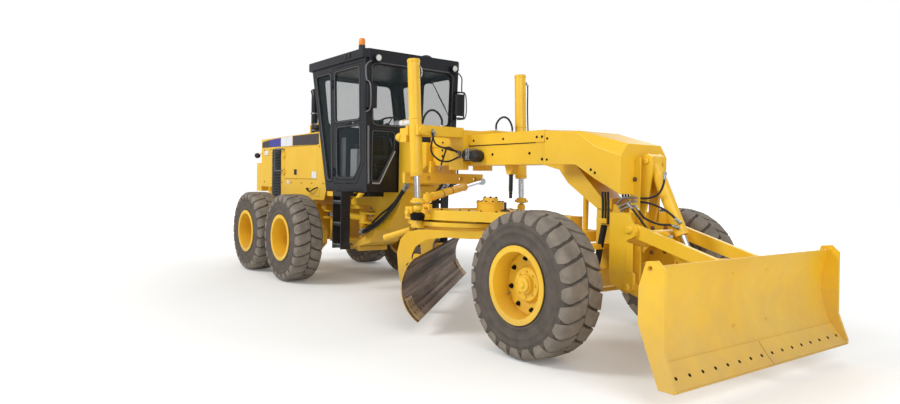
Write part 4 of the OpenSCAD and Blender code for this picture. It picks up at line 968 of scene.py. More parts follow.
louvre_low, louvre_high = 1.240, 2.125
louvres = [plate(rectangle(-7.455, louvre_low, -7.050, louvre_high),
                 -hood_half - 0.004, -hood_half + 0.001)]
blade_edge = [[-0.600, 0.0], [-0.626, -0.014], [-0.626, -0.009], [-0.600, 0.012]]
for z in np.arange(louvre_low + 0.05, louvre_high - 0.03, 0.052):
    edge = np.array(blade_edge) + [0, z]
    louvres.append(plate(edge, -7.440, -7.065, "x"))
fitted("hood_louvres", both(louvres), black_enamel, "rear_frame")
rail_out = -0.660
rail = [[-6.910, -0.598, 2.110], [-6.912, -0.640, 2.112], [-6.950, rail_out, 2.115], [-7.150, rail_out, 2.115],
        [-7.190, rail_out, 2.080], [-7.190, rail_out, 1.760], [-7.150, rail_out, 1.726], [-6.950, rail_out, 1.726],
        [-6.912, -0.640, 1.728], [-6.910, -0.598, 1.730]]
fitted("hood_grab_rails", both([pipe(rail, 0.012, 12, 70)]), satin_grey, "rear_frame")
print("hood stripes, latches, louvres and rails")

# %% [markdown]
# ## Engine end
# The exhaust has a rain-proof tip, two clamps and a heat shield. The cooler's grille closes the hood's rear
# face: bars in a frame, over a closed plate. Lamps stand on stalks beside it and in the bumper.

# %% Exhaust, filler cap and top rail
stack_foot = np.array([-6.000, -0.450, 2.350])
clamps = [turned(rectangle(0.0575, z, 0.0600, z + 0.022), stack_foot, (0, 0, 1), 40)
          for z in (0.045, 0.330)]
clamps += [block([-6.015, -0.522, 2.350 + z + 0.004], [-5.985, -0.505, 2.350 + z + 0.018]) for z in (0.045, 0.330)]
fitted("exhaust_clamps", clamps, zinc_plate, "rear_frame")
flange_bolts = round_spots(stack_foot + [0, 0, 0.020], 0.072, 4, 0.4)
fitted("exhaust_flange_bolts", bolt_heads(flange_bolts, (0, 0, 1), 0.016, 0.009), dark_bolt, "rear_frame")
filler = [turned([[0.060, -0.010], [0.060, 0.020], [0.052, 0.022], [0.052, 0.050], [0.046, 0.056], [0.020, 0.058]],
                 [-6.900, 0.300, 2.338], (0, 0, 1), 32)]
cleaner = [turned([[0.075, -0.010], [0.075, 0.070], [0.110, 0.080], [0.125, 0.120], [0.110, 0.160], [0.050, 0.176]],
                  [-5.760, -0.480, 2.345], (0, 0, 1), 40)]
fitted("filler_cap", filler, black_plastic, "rear_frame")
fitted("air_cleaner_cap", cleaner, black_plastic, "rear_frame")
top_rail = [[-5.600, -0.540, 2.345], [-5.600, -0.545, 2.440], [-5.640, -0.550, 2.490], [-5.900, -0.550, 2.490],
            [-5.940, -0.545, 2.440], [-5.940, -0.540, 2.340]]
fitted("hood_top_rails", both([pipe(top_rail, 0.012, 12, 50)]), yellow_enamel, "rear_frame")

# %% Grille and rear lamps
hood_end = -8.000
grille = [plate(rectangle(-0.500, 1.930, 0.500, 2.260), hood_end - 0.004, hood_end + 0.001,
                "x")]
grille += [block([hood_end - 0.020, -0.490, z - 0.006], [hood_end - 0.003, 0.490, z + 0.006])
           for z in np.arange(1.950, 2.250, 0.030)]
grille += [block([hood_end - 0.026, y - 0.008, 1.930], [hood_end - 0.018, y + 0.008, 2.260])
           for y in (-0.495, -0.25, 0.0, 0.25, 0.495)]
fitted("cooler_grille", grille, black_enamel, "rear_frame")
stalk = [pipe([[-7.985, -0.560, 2.060], [-8.060, -0.580, 2.060], [-8.130, -0.625, 2.040], [-8.150, -0.632, 2.022]],
              0.012, 10, 16)]
fitted("rear_lamp_stalks", both(stalk), yellow_enamel, "rear_frame")
rear_case = [turned([[0.030, 0.050], [0.048, 0.040], [0.052, 0.004], [0.052, -0.006], [0.046, -0.008]],
                    [-8.150, -0.632, 2.020], (1, 0, 0), 32)]
rear_lens = [turned([[0.0465, -0.002], [0.0465, -0.010], [0.030, -0.016], [0.010, -0.018]], [-8.150, -0.632, 2.020],
                    (1, 0, 0), 32)]
fitted("rear_lamp_cases", both(rear_case), black_plastic, "rear_frame")
fitted("rear_lamp_lenses", both(rear_lens), lamp_lens, "rear_frame")
bumper_x = -8.350
tail = [plate(rounded(rectangle(-0.52, 1.70, -0.34, 1.80), 0.02), bumper_x - 0.012,
              bumper_x + 0.001, "x")]
fitted("tail_lamps", both(tail), red_lens, "rear_frame", bevel=0.003)
blank = [plate(rounded(rectangle(-0.26, 1.56, 0.26, 1.68), 0.012), bumper_x - 0.004,
               bumper_x + 0.001, "x")]
fitted("blank_number_plate", blank, white_film, "rear_frame", bevel=0.001)
print("exhaust, grille and rear lamps")

# %% [markdown]
# ## Nose cover
# The beam's neck is hidden by a folded sheet cover with bevelled top corners and a flat front. Its skin is three
# quarters of a section, open below, drawn at four places along the machine and given its sheet thickness by a
# Solidify modifier.

# %% Folded cover
cover_x = [0.372, 0.073, -0.191, -0.625]
cover_low = [1.504, 1.640, 1.784, 1.787]
cover_side = [1.864, 1.953, 2.112, 2.140]
cover_top = [1.980, 2.056, 2.124, 2.152]
cover_inner = [0.250, 0.262, 0.300, 0.318]
cover_outer = 0.350


def cover_section(k):
    """Eight corners from the right lower edge over the top to the left lower edge, at one place along X."""
    half = [[cover_outer, cover_low[k]], [cover_outer, cover_side[k]], [cover_inner[k], cover_top[k]]]
    return [[cover_x[k], -y, z] for y, z in half] + [[cover_x[k], y, z] for y, z in half[::-1]]


cover_grid = np.array([cover_section(k) for k in range(4)])
cover_faces = grid_faces(4, 6, around=False) + [[5, 4, 3, 2, 1, 0]]
cover = fitted("nose_cover_shell", [(cover_grid.reshape(-1, 3), cover_faces)], yellow_enamel, "front_frame",
               replaces=["gooseneck_cover"], sharp=5)
sheet = cover.modifiers.new("sheet", "SOLIDIFY")
sheet.thickness = 0.008
sheet.offset = -1
sheet.use_even_offset = True
folds = cover.modifiers.new("folds", "BEVEL")
folds.width = 0.004
folds.segments = 2
folds.limit_method = "ANGLE"
print("cover from", cover_x[-1], "to", cover_x[0])

# %% [markdown]
# ## Hoses
# A hydraulic hose is rubber over a wire braid, with a zinc sleeve and a hexagon nut crimped on each end. It is
# stiff, so it bends in one smooth curve from end to end. Here it is a tube carried along a curve through a few
# measured points. A hose that reaches a moving cylinder is left on no body.

# %% Hoses and their fittings
def hose(points, radius):
    """The rubber of a hose along a curve, and a sleeve and a nut at each of its ends."""
    path = smooth_path(points, 36)
    metal = []
    for end, after in ((path[0], path[2]), (path[-1], path[-3])):
        way = after - end
        metal.append(turned([[radius * 1.15, 0.0], [radius * 1.45, 0.008], [radius * 1.35, 0.050],
                             [radius * 1.05, 0.056]], end, way, 14))
        metal.append(turned([[radius * 1.75, -0.014], [radius * 1.75, 0.010]], end, way, 6))
    return pipe(path, radius, 10), metal


def hoses(name, paths, body, radius, bend=None):
    """Several hoses as one piece of rubber and one of metal, on one body, or on none when a bend is given."""
    made = [hose(path, radius) for path in paths]
    skins = {"hoses": ([rubber for rubber, _ in made], hose_rubber, "cab_paint"),
             "fittings": ([part for _, metal in made for part in metal], zinc_plate, "cast")}
    for part, (surfaces, material, slot) in skins.items():
        shape = fitted(f"{name}_{part}", surfaces, material, None if bend else body, slot)
        if bend:
            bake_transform(shape)


arc = [[-2.34, -0.720, 2.238], [-2.34, -0.728, 2.335], [-2.34, -0.672, 2.430], [-2.34, -0.591, 2.466],
       [-2.34, -0.507, 2.437], [-2.34, -0.446, 2.355], [-2.34, -0.450, 2.238]]
other_side = np.array([1, -1, 1])
hoses("lift_cylinder", [arc, np.array(arc) * other_side], "front_frame", 0.013)
valve_hoses = [[[-2.168, -0.700, 2.200], [-2.125, -0.735, 2.150], [-2.105, -0.690, 2.030], [-2.120, -0.475, 1.979],
                [-2.165, -0.290, 1.962]],
               [[-2.168, -0.670, 2.165], [-2.120, -0.740, 2.080], [-2.105, -0.760, 1.940], [-2.105, -0.640, 1.845],
                [-2.110, -0.500, 1.836], [-2.120, -0.378, 1.878], [-2.165, -0.290, 1.900]],
               [[-2.700, -0.20, 1.760], [-2.600, -0.22, 1.900], [-2.469, -0.26, 2.020], [-2.330, -0.285, 2.000],
                [-2.165, -0.290, 1.930]]]
hoses("valve", valve_hoses, "front_frame", 0.011)
under_cab = np.array([[-3.300, -0.330, 1.520], [-3.675, -0.330, 1.188], [-3.952, -0.330, 1.010],
                      [-4.305, -0.330, 0.850], [-4.520, -0.330, 0.800]])
sag = np.array([0.0, 0.6, 1.0, 0.6, 0.0])[:, None]
bundle = [under_cab + [0.03 * math.cos(a), 0.028 * math.sin(a), 0.035 * math.cos(a)]
          + sag * [0.02 * (k % 3), 0.0, 0.045 * (k % 4) - 0.02] for k, a in enumerate(np.arange(6) * 1.047)]
hoses("under_cab", bundle + [path * other_side for path in bundle], "front_frame", 0.014)
elbows = [[[0.178, -0.15, 1.399], [0.222, -0.15, 1.440], [0.265, -0.15, 1.466], [0.386, -0.15, 1.472]],
          [[0.205, -0.15, 1.370], [0.262, -0.15, 1.400], [0.321, -0.15, 1.425], [0.373, -0.15, 1.439]],
          [[0.225, -0.15, 1.340], [0.300, -0.15, 1.378], [0.401, -0.15, 1.397]]]
fitted("mast_elbows", [pipe(path, 0.013, 10, 20) for path in elbows], zinc_plate)
mast_bend = ([0.40, -0.12, 1.45], [0.66, -0.12, 1.35])
hoses("mast", [[[0.386, -0.15, 1.472], [0.517, -0.13, 1.471], [0.616, -0.11, 1.511], [0.663, -0.10, 1.596],
                [0.658, -0.075, 1.700]],
               [[0.373, -0.15, 1.439], [0.544, -0.13, 1.423], [0.695, -0.10, 1.366], [0.830, -0.075, 1.262]],
               [[0.401, -0.15, 1.397], [0.500, -0.15, 1.290], [0.640, -0.12, 1.237], [0.740, -0.10, 1.235],
                [0.812, -0.072, 1.215]]], ("front_frame", "dozer_barrel"), 0.010, mast_bend)
hoses("mast_lower", [[[0.361, -0.20, 1.406], [0.470, -0.20, 1.300], [0.600, -0.20, 1.170], [0.690, -0.17, 1.110],
                      [0.745, -0.075, 1.125]]], ("front_frame", "dozer_barrel"), 0.010, mast_bend)
gaiter = [[0.106, -0.24, 1.194], [0.060, -0.24, 0.980], [0.015, -0.24, 0.780], [-0.094, -0.24, 0.640]]
fitted("steering_hose_sleeve", both([pipe(gaiter, 0.032, 14, 40)]), hose_rubber)
uprights = [[[x, -0.155, 1.200], [x, -0.155, 1.350], [x - 0.01, -0.155, 1.520]] for x in (0.010, 0.045, 0.080)]
fitted("neck_pipes", both([pipe(path, 0.011, 8, 12) for path in uprights]), black_plastic)
print("hoses of the lift, valve, mast and steering")

# %% [markdown]
# ## Beam and saddle
# A lock valve sits on the beam's side between the lift cylinders. Its two spool housings are black, and the
# block between them is painted with the beam. Small bolts and bosses break up the large plates, and a thin dark
# tube under the beam's top strip is a painted shadow of its overhang.

# %% Lock valve, bosses and bolts
housing = []
for x, z in ((-2.082, 1.920), (-1.926, 1.906)):
    housing += [turned([[0.068, 0.0], [0.074, 0.012], [0.074, 0.108], [0.062, 0.124], [0.040, 0.130], [0.030, 0.142],
                        [0.016, 0.144]], [x, -0.150, z], (0, -1, 0), 28)]
    housing += bolt_heads(round_spots([x, -0.270, z], 0.052, 4, 0.6, (0, 2)), (0, -1, 0), 0.014, 0.010)
fitted("lock_valve_housings", housing, black_plastic)
centre_block = [block([-2.040, -0.300, 1.858], [-1.972, -0.148, 2.000])]
centre_block += [turned([[0.022, 0], [0.022, 0.020], [0.012, 0.024]], [-2.006, -0.299, z], (0, -1, 0), 12)
                 for z in (1.892, 1.962)]
fitted("lock_valve_block", centre_block, zinc_plate, bevel=0.004)

# A thin dark tube along the top strip's lower edge paints the shadow that the strip's overhang casts.
strip_shadow_path = [[-2.75, -0.153, 2.038], [-2.1, -0.153, 2.036], [-1.4, -0.153, 2.038], [-0.97, -0.153, 2.040]]
fitted("beam_seams", both([pipe(strip_shadow_path, 0.004, 6, 30)]), seal_rubber)
side_bolts = [[-1.062, 1.925], [-0.862, 1.856], [-1.70, 1.925], [-2.72, 1.925], [-2.72, 2.000]]
beam_bolts = bolt_heads([[x, -0.150, z] for x, z in side_bolts], (0, -1, 0), 0.022, 0.010)
beam_bolts += bolt_heads([[x, -0.162, 2.101] for x in (-0.939, -0.858, -1.5, -2.05, -2.7)], (0, -1, 0), 0.020, 0.009)
beam_bolts += bolt_heads([[0.014, -0.350, 1.733], [0.065, -0.350, 1.703], [-0.590, -0.350, 1.840],
                          [-0.590, -0.350, 2.060]], (0, -1, 0), 0.018, 0.008)
fitted("beam_bolts", both(beam_bolts), dark_bolt)

boss = [turned([[0.058, 0.0], [0.058, 0.080], [0.050, 0.105], [0.028, 0.118]], [-2.580, -0.8575, 2.130],
               (-1, 0, 0), 28),
        block([-2.590, -0.900, 2.065], [-2.445, -0.815, 2.235]),
        turned([[0.050, -0.004], [0.050, 0.016], [0.044, 0.022]], [-2.165, -0.8575, 2.200], (1, 0, 0), 28)]
fitted("trunnion_bosses", both(boss), yellow_enamel)
bottle_way = (-1, 0, 0.03)
bottle = [turned([[0.030, 0.0], [0.038, 0.010], [0.038, 0.330], [0.034, 0.335]], [-2.470, -0.745, 2.312],
                 bottle_way, 24)]
fitted("accumulator_bottle", bottle, white_film)
bottle_end = [turned([[0.036, 0.0], [0.040, 0.004], [0.040, 0.130], [0.030, 0.150], [0.012, 0.160]],
                     [-2.800, -0.745, 2.322], bottle_way, 24)]
fitted("accumulator_end", bottle_end, zinc_plate)
bottle_grip = [block([-2.475, -0.790, 2.255], [-2.445, -0.700, 2.360]),
               turned([[0.038, 0.0], [0.040, 0.002], [0.040, 0.026], [0.038, 0.028]], [-2.700, -0.745, 2.325],
                      bottle_way, 24)]
fitted("accumulator_bracket", bottle_grip, yellow_enamel, bevel=0.002)
lift_pipe = [[-2.315, 0.940, 2.950], [-2.300, 0.958, 2.900], [-2.290, 0.955, 2.600], [-2.265, 0.950, 2.300]]
hoses("left_lift_barrel", [lift_pipe], "lift_barrel_left", 0.009)
short_pipe = [[-2.305, -0.835, 2.985], [-2.270, -0.812, 2.940], [-2.266, -0.810, 2.860], [-2.300, -0.832, 2.825]]
fitted("right_lift_barrel_pipe", [pipe(short_pipe, 0.009, 8, 16)], zinc_plate, "lift_barrel_right")
for side, hand in ((-1, "right"), (1, "left")):
    along_barrel = np.array([0.110, -0.025, -1.790]) / np.linalg.norm([0.110, 0.025, 1.790]) * np.array([1, side, 1])
    top = np.array([-2.360, 0.870 * side, 3.055])
    rings = [hollow([[0.0745, 0], [0.080, 0.003], [0.080, 0.022], [0.0745, 0.025]], top + along_barrel * s,
                    along_barrel) for s in (0.012, 0.700, 1.360)]
    fitted(f"lift_barrel_rings_{hand}", rings, yellow_enamel, f"lift_barrel_{hand}")
print("valve, bosses, bolts and cylinder rings")

# %% [markdown]
# Under the beam an upright damper stands on the drawbar. The lift rods end in round flanges with studs, each
# above its ball, and the ball stands in a dark cup on the drawbar's arm. Rings round a rod or a barrel are
# turned with a free middle, so that they never touch what slides through them.

# %% Drawbar trim
bracket = [plate([[-1.600, 1.800], [-1.440, 1.800], [-1.490, 1.690], [-1.560, 1.690]], -0.045, 0.045)]
fitted("damper_bracket", bracket, yellow_enamel, bevel=0.004)
damper = [turned([[0.030, 0.0], [0.030, 0.012], [0.024, 0.020], [0.024, 0.200], [0.020, 0.206], [0.020, 0.290]],
                 [-1.530, 0.0, 1.695], (0, 0, -1), 20)]
fitted("damper_case", damper, black_plastic)
foot = [turned([[0.060, -0.002], [0.060, 0.010], [0.034, 0.020], [0.015, 0.030], [0.015, 0.110]],
               [-1.620, 0.0, 1.245], (0, 0, 1), 20)]
fitted("damper_foot", foot, black_plastic, "drawbar")
for side, hand in ((-1, "right"), (1, "left")):
    ball = np.array([-2.250, 0.845 * side, 1.265])
    bell = [hollow([[0.061, 0.062], [0.088, 0.063], [0.092, 0.069], [0.092, 0.084], [0.080, 0.092], [0.068, 0.100],
                    [0.066, 0.122], [0.061, 0.124]], ball, (0, 0, 1), 36)]
    bell += bolt_heads(round_spots(ball + [0, 0, 0.088], 0.079, 6), (0, 0, 1), 0.016, 0.014)
    fitted(f"lift_ball_bells_{hand}", bell, yellow_enamel, f"lift_rod_{hand}")
    cup = [turned([[0.060, -0.150], [0.082, -0.140], [0.090, -0.110], [0.090, -0.075], [0.074, -0.062],
                   [0.052, -0.050]], ball, (0, 0, 1), 36)]
    fitted(f"lift_ball_cups_{hand}", cup, dark_bolt, "drawbar")
corner = [block([-2.700, -0.735, 1.112], [-2.545, -0.610, 1.270]),
          turned([[0.046, -0.002], [0.046, 0.030], [0.038, 0.040]], [-2.620, -0.733, 1.192], (0, -1, 0), 6)]
fitted("drawbar_corner_blocks", both(corner), yellow_enamel, "drawbar", bevel=0.006)
drum_x = -1.900
flange = [*round_spots([drum_x, 0, 1.354], 0.156, 12), *round_spots([drum_x, 0, 1.404], 0.080, 6, 0.3)]
flange += [[x, side * y, 1.244] for x, y in ((-1.966, 0.421), (-1.830, 0.390), (-1.687, 0.322), (-2.150, 0.560),
                                             (-1.480, 0.260)) for side in (-1, 1)]
fitted("drawbar_bolts", bolt_heads(flange, (0, 0, 1), 0.022, 0.012), dark_bolt, "drawbar")
shift_start, shift_end = np.array([-2.400, -0.600, 1.380]), np.array([-2.800, 0.590, 1.600])
shift_along = (shift_end - shift_start) / np.linalg.norm(shift_end - shift_start)
shift_rings = [hollow([[0.0475, 0], [0.054, 0.003], [0.054, 0.027], [0.0475, 0.030]], shift_start + shift_along * s,
                      shift_along) for s in (0.110, 0.812)]
stripes = [hollow([[0.0475, 0], [0.0495, 0.001], [0.0495, 0.013], [0.0475, 0.014]], shift_start + shift_along * s,
                  shift_along) for s in (0.300, 0.500)]
fitted("shift_barrel_rings", shift_rings, yellow_enamel, "shift_barrel")
fitted("shift_barrel_stripes", stripes, seal_rubber, "shift_barrel")
print("damper, ball housings and drawbar bolts")

# %% [markdown]
# ## Blade and front blade
# The cutting edges are flat bars of hard steel, bolted along the lower edge with flush plough bolts so that they
# can be changed when worn. The end bits are cleaner and paler, because soil rubs them most, and their tan is
# partly a painted sunlit reflection on polished steel. Each is a piece of the blade's own arc, pushed out along
# the blade.

# %% Cutting edges and end bits
circle_x = -2.350


def in_blade(surfaces):
    """Skins given as forwards, left and up of the turned blade, in points from the front axle."""
    cos, sin = math.cos(blade_turn), math.sin(blade_turn)
    turn = np.array([[cos, sin, 0], [-sin, cos, 0], [0, 0, 1]])
    return [(points @ turn + np.array([circle_x, 0, 0]), faces) for points, faces in surfaces]


def arc_bar(centre, inner, outer, first, last, start, end, steps=12):
    """A bar between two radii and two angles round a level line, pushed from start to end across."""
    angle = np.radians(np.linspace(first, last, steps))
    ring_points = [np.column_stack([centre[0] + r * np.cos(a), centre[1] + r * np.sin(a)])
                   for r, a in ((inner, angle), (outer, angle[::-1]))]
    return plate(np.concatenate(ring_points), start, end)


def plough_bolts(centre, radius, angle, spots, size=0.013):
    """Flush round heads on an arc's inner side, facing its centre."""
    a = math.radians(angle)
    inward = np.array([-math.cos(a), 0, -math.sin(a)])
    foot = np.array([centre[0] + radius * math.cos(a), 0, centre[1] + radius * math.sin(a)])
    return [turned([[size, -0.002], [size, 0.002], [size * 0.7, 0.003], [size * 0.65, 0.001]],
                   foot + [0, y, 0], inward, 12) for y in spots]


board_centre = (0.0, 0.487)
board_half = 1.830
bit_inner, edge_inner, bar_outer = 0.397, 0.399, 0.4145
bit_bolts_at = (-1.77, -1.66, 1.66, 1.77)
rim_inset, rim_width = 0.012, 0.040
bits = [arc_bar(board_centre, bit_inner, bar_outer, 196, 233.5, *ends)
        for ends in ((-board_half, -1.590), (1.590, board_half))]
edges = [arc_bar(board_centre, edge_inner, bar_outer, 213, 233.5, start, start + 1.055)
         for start in (-1.587, -0.5275, 0.532)]
fitted("blade_end_bits", in_blade(bits), edge_steel_with_painted_sunlight, "mouldboard", bevel=0.002)
fitted("blade_cutting_edges", in_blade(edges), blade_steel, "mouldboard", bevel=0.002)
edge_spots = np.arange(-1.50, 1.51, 0.15)
bolts = plough_bolts(board_centre, edge_inner, 222, edge_spots)
for angle in (203, 212, 221):
    bolts += plough_bolts(board_centre, bit_inner, angle, bit_bolts_at)
fitted("blade_bolts", in_blade(bolts), dark_bolt, "mouldboard")
rim_end = board_half - rim_inset
rims = [arc_bar(board_centre, 0.4345, 0.447, 138, 233, y, y + rim_width, 20) for y in (-rim_end, rim_end - rim_width)]
rims += [arc_bar(board_centre, 0.4345, 0.440, 138, 146, -rim_end + rim_width, rim_end - rim_width, 4)]
fitted("blade_rear_rims", in_blade(rims), yellow_enamel, "mouldboard", bevel=0.002)
arm_y = 0.700
tip = [[0.150, 0.916], [0.150, 1.0085], [0.395, 1.0085], [0.430, 0.985], [0.430, 0.945], [0.390, 0.918]]
tips = [plate(tip, y - 0.020, y + 0.020) for y in (-arm_y, arm_y)]
fitted("circle_arm_tips", in_blade(tips), yellow_enamel, "circle", bevel=0.003)
tip_start, tip_end = np.array([-1.020, -0.300, 0.860]), np.array([-0.640, -0.300, 0.985])
tip_way = tip_end - tip_start
tip_way /= np.linalg.norm(tip_way)
tip_barrel = [turned([[0.030, -0.012], [0.042, 0.0], [0.042, 0.350], [0.030, 0.362]], tip_start, tip_way, 28),
              turned([[0.046, 0.0], [0.046, 0.020]], tip_start + tip_way * 0.03, tip_way, 28)]
fitted("tip_cylinder", in_blade(tip_barrel), yellow_enamel, "circle")

face_centre = (2.165, 0.704)
face_half = 1.318
front_edges = [arc_bar(face_centre, 0.714, 0.7275, 211, 228.2, start, start + 1.312) for start in (-face_half, 0.006)]
fitted("front_blade_edges", front_edges, yellow_enamel, "front_blade", bevel=0.002)
front_bolts = plough_bolts(face_centre, 0.714, 221, np.linspace(-1.24, 1.24, 16), 0.014)
fitted("front_blade_bolts", front_bolts, dark_bolt, "front_blade")
print("edges, end bits and", len(edge_spots) + 28, "plough bolts")

# %% [markdown]
# A pin joint shows a round pin head with a keeper bolt, and a greased gap between the plates. The front group
# has many, so one small turned shape serves them all.

# %% Pin heads and mast trim
def pin_head(centre, side, radius=0.034):
    """A round pin end with a bevel and its grease nipple's hole, facing out to one side."""
    return turned([[radius, -0.003], [radius, 0.009], [radius - 0.005, 0.014], [0.006, 0.014], [0.005, 0.008]],
                  centre, (0, side, 0), 28)


pins = [pin_head([x, -0.368, z], -1) for x, z in ((0.500, 1.180), (0.490, 0.650))]
pins += [pin_head([0.470, -0.104, 1.820], -1, 0.028)]
fitted("front_pins", both(pins), yellow_enamel)
stiffener = plate([[0.375, 1.800], [0.425, 1.851], [0.450, 1.851], [0.450, 1.240], [0.330, 1.240], [0.335, 1.503]],
                  -0.156, -0.146)
fitted("mast_stiffeners", both([stiffener]), yellow_enamel, bevel=0.002)
mast_bolts = bolt_heads([[0.392, -0.157, 1.646], [0.560, -0.099, 1.192], [0.560, -0.099, 0.967]], (0, -1, 0),
                        0.030, 0.014)
# The mast bolts share the end bits' steel, whose pale tan is partly a painted sunlit reflection.
fitted("mast_bolts", both(mast_bolts), edge_steel_with_painted_sunlight, "front_frame", "cast")
two_hole = [plate(rectangle(0.060, 1.218, 0.182, 1.266), -0.306, -0.298)]
two_hole += [turned([[0.010, 0], [0.010, 0.003], [0.006, 0.004]], [x, -0.306, 1.242], (0, -1, 0), 12)
             for x in (0.095, 0.150)]
fitted("clamp_plates", both(two_hole), yellow_enamel)
inner_strip = [plate(rectangle(0.473, 0.790, 0.553, 1.060), -0.372, -0.366)]
fitted("bracket_strips", both(inner_strip), yellow_enamel, bevel=0.003)
print("pins, stiffeners and mast bolts")

# %% [markdown]
# ## Ladders and sill
# The rungs carry zinc-plated treads with raised teeth, so that a muddy boot doesn't slip. A yellow sill runs
# below the cab door. The teeth are short upright plates along the tread's edges.

# %% Treads, sill and brackets
treads = []
for z in (0.655, 0.965, 1.275):
    treads.append(block([-4.300, -0.938, z - 0.002], [-4.050, -0.802, z + 0.006]))
    for y in (-0.935, -0.870, -0.806):
        treads += [block([x, y - 0.003, z], [x + 0.016, y + 0.003, z + 0.018])
                   for x in np.arange(-4.290, -4.060, 0.032)]
fitted("ladder_treads", both(treads), zinc_plate)
sill = [plate([[-4.884, 1.335], [-4.110, 1.335], [-4.030, 1.408], [-4.884, 1.408]], -0.748, -0.700),
        plate([[-3.985, 1.335], [-3.905, 1.335], [-3.800, 1.408], [-3.900, 1.408]], -0.748, -0.700)]
fitted("cab_sills", both(sill), yellow_enamel, bevel=0.003)
sill_hook = plate([[-4.470, 1.060], [-4.330, 1.060], [-4.330, 1.345], [-4.375, 1.345], [-4.375, 1.110],
                   [-4.470, 1.110]], -0.745, -0.705)
fitted("cab_post_brackets", both([sill_hook]), yellow_enamel, bevel=0.003)
mounts = [turned([[0.060, 0.0], [0.066, 0.010], [0.066, 0.040], [0.050, 0.052], [0.024, 0.056]], [x, -0.60, 1.372],
                 (0, 0, 1), 24) for x in (-3.85, -4.75)]
fitted("cab_rubber_mounts", both(mounts), seal_rubber)
print("treads and sills")

# %% [markdown]
# ## Inside the cab
# Through the windows one sees the seat, the steering column with its console, two banks of short levers, the
# pedals and pale side panels. These stand in for the plain CAD blocks of the interior.

# %% Console, wheel and levers
def applied(shape):
    """The mesh of an object with its modifiers worked out."""
    return bpy.data.meshes.new_from_object(shape.evaluated_get(bpy.context.evaluated_depsgraph_get()))


inside = {"replaces": ["cab_interior"]}
mat = [block([-4.880, -0.640, 1.466], [-3.720, 0.640, 1.474])]
fitted("cab_floor_mat", mat, seal_rubber, "front_frame", "seat", bevel=0.002, **inside)
pale_plastic = moulded("pale_moulded_plastic", "#b4b6ba", "#a6a8ac", 0.5, 3, 0.2)
panels = [block([-4.636, -0.655, 1.472], [-4.560, -0.600, 2.220]),
          block([-4.330, -0.655, 1.472], [-4.138, -0.600, 2.040]),
          block([-4.860, 0.400, 1.472], [-4.450, 0.620, 2.000])]
fitted("cab_side_panels", panels, pale_plastic, "front_frame", "seat", bevel=0.012, **inside)
knee_bar = [[-3.652, -0.668, 1.548], [-3.652, -0.570, 1.548], [-3.652, -0.540, 1.568], [-3.652, -0.430, 1.775],
            [-3.652, -0.306, 2.004]]
fitted("knee_window_bars", both([pipe(knee_bar, 0.010, 10, 30)]), pale_plastic, "front_frame", "cab_paint")

hub = np.array([-4.400, 0.0, 2.440])
wheel_axis = np.array([-math.sin(math.radians(32)), 0, math.cos(math.radians(32))])
wheel_right = np.array([0, 1.0, 0])
wheel_ahead = np.cross(wheel_right, wheel_axis)
wheel_plane = np.array([wheel_right, wheel_ahead])
rim_spokes = ring(1, 64) @ wheel_plane
rim_section = ring(0.013, 12)
steering = [torus(hub + (0.190 + rim_section[None, :, :1]) * rim_spokes[:, None]
                  + rim_section[None, :, 1:] * wheel_axis)]
for spoke in ring(1, 3, math.radians(90)) @ wheel_plane:
    steering.append(pipe([hub - wheel_axis * 0.02 + spoke * 0.02, hub - wheel_axis * 0.012 + spoke * 0.1,
                          hub + spoke * 0.188], 0.009, 8, 10))
steering.append(turned([[0.040, -0.045], [0.048, -0.020], [0.048, 0.000], [0.036, 0.010], [0.010, 0.013]], hub,
                       wheel_axis, 32))
column = [*(hub - wheel_axis * down for down in (0.03, 0.30, 0.52)), [-3.980, 0, 1.700], [-3.930, 0, 1.470]]
steering.append(pipe(column, 0.040, 16, 40))
fitted("steering_wheel_and_column", steering, black_plastic, "front_frame", "seat", **inside)

console_place = hub - wheel_axis * 0.16
levers = []
for side in (-1, 1):
    for k in range(5):
        root = console_place + wheel_right * side * (0.090 + 0.028 * k) + wheel_ahead * 0.03
        tip = root + wheel_axis * 0.10 - wheel_ahead * (0.05 + 0.004 * k)
        levers += [pipe([root, (root + tip) / 2 + wheel_ahead * 0.01, tip], 0.005, 8, 8),
                   turned([[0.007, -0.012], [0.014, -0.004], [0.015, 0.010], [0.009, 0.020]], tip, wheel_axis, 16)]
fitted("control_levers", levers, black_plastic, "front_frame", "seat", **inside)
console = [(points + console_place, faces) for points, faces in
           both([block([-0.060, -0.230, -0.050], [0.060, -0.050, 0.010])])
           + [block([0.020, -0.090, -0.060], [0.100, 0.090, 0.060])]]
fitted("lever_consoles", console, black_plastic, "front_frame", "seat", bevel=0.010, **inside)
pedal_y = (-0.28, -0.15, 0.16)
pedals = [plate(rounded(rectangle(-3.960, y - 0.045, -3.840, y + 0.045), 0.015),
                1.530, 1.540, "z") for y in pedal_y]
pedals += [pipe([[-3.840, y, 1.535], [-3.790, y, 1.580], [-3.760, y, 1.660]], 0.010, 8, 12) for y in pedal_y]
fitted("pedals", pedals, black_plastic, "front_frame", "seat", **inside)
seat_base = [block([-4.700, -0.180, 1.472], [-4.380, 0.180, 1.560]),
             block([-4.740, -0.215, 1.800], [-4.330, 0.215, 1.846])]
seat_base += [block([-4.690 - 0.012 * (k % 2), -0.170 - 0.012 * (k % 2), 1.558 + 0.0305 * k],
                    [-4.390 + 0.012 * (k % 2), 0.170 + 0.012 * (k % 2), 1.590 + 0.0305 * k]) for k in range(7)]
seat_base += [block([-4.900, -0.150, 1.846], [-4.870, 0.150, 2.450])]
fitted("seat_base", seat_base, black_plastic, "front_frame", "seat", bevel=0.008, **inside)
arm_rests = [block([-4.800, -0.325, 2.110], [-4.440, -0.265, 2.155]),
             block([-4.845, -0.320, 1.870], [-4.795, -0.290, 2.130])]
fitted("arm_rests", both(arm_rests), seat_vinyl, "front_frame", "seat", bevel=0.018, **inside)
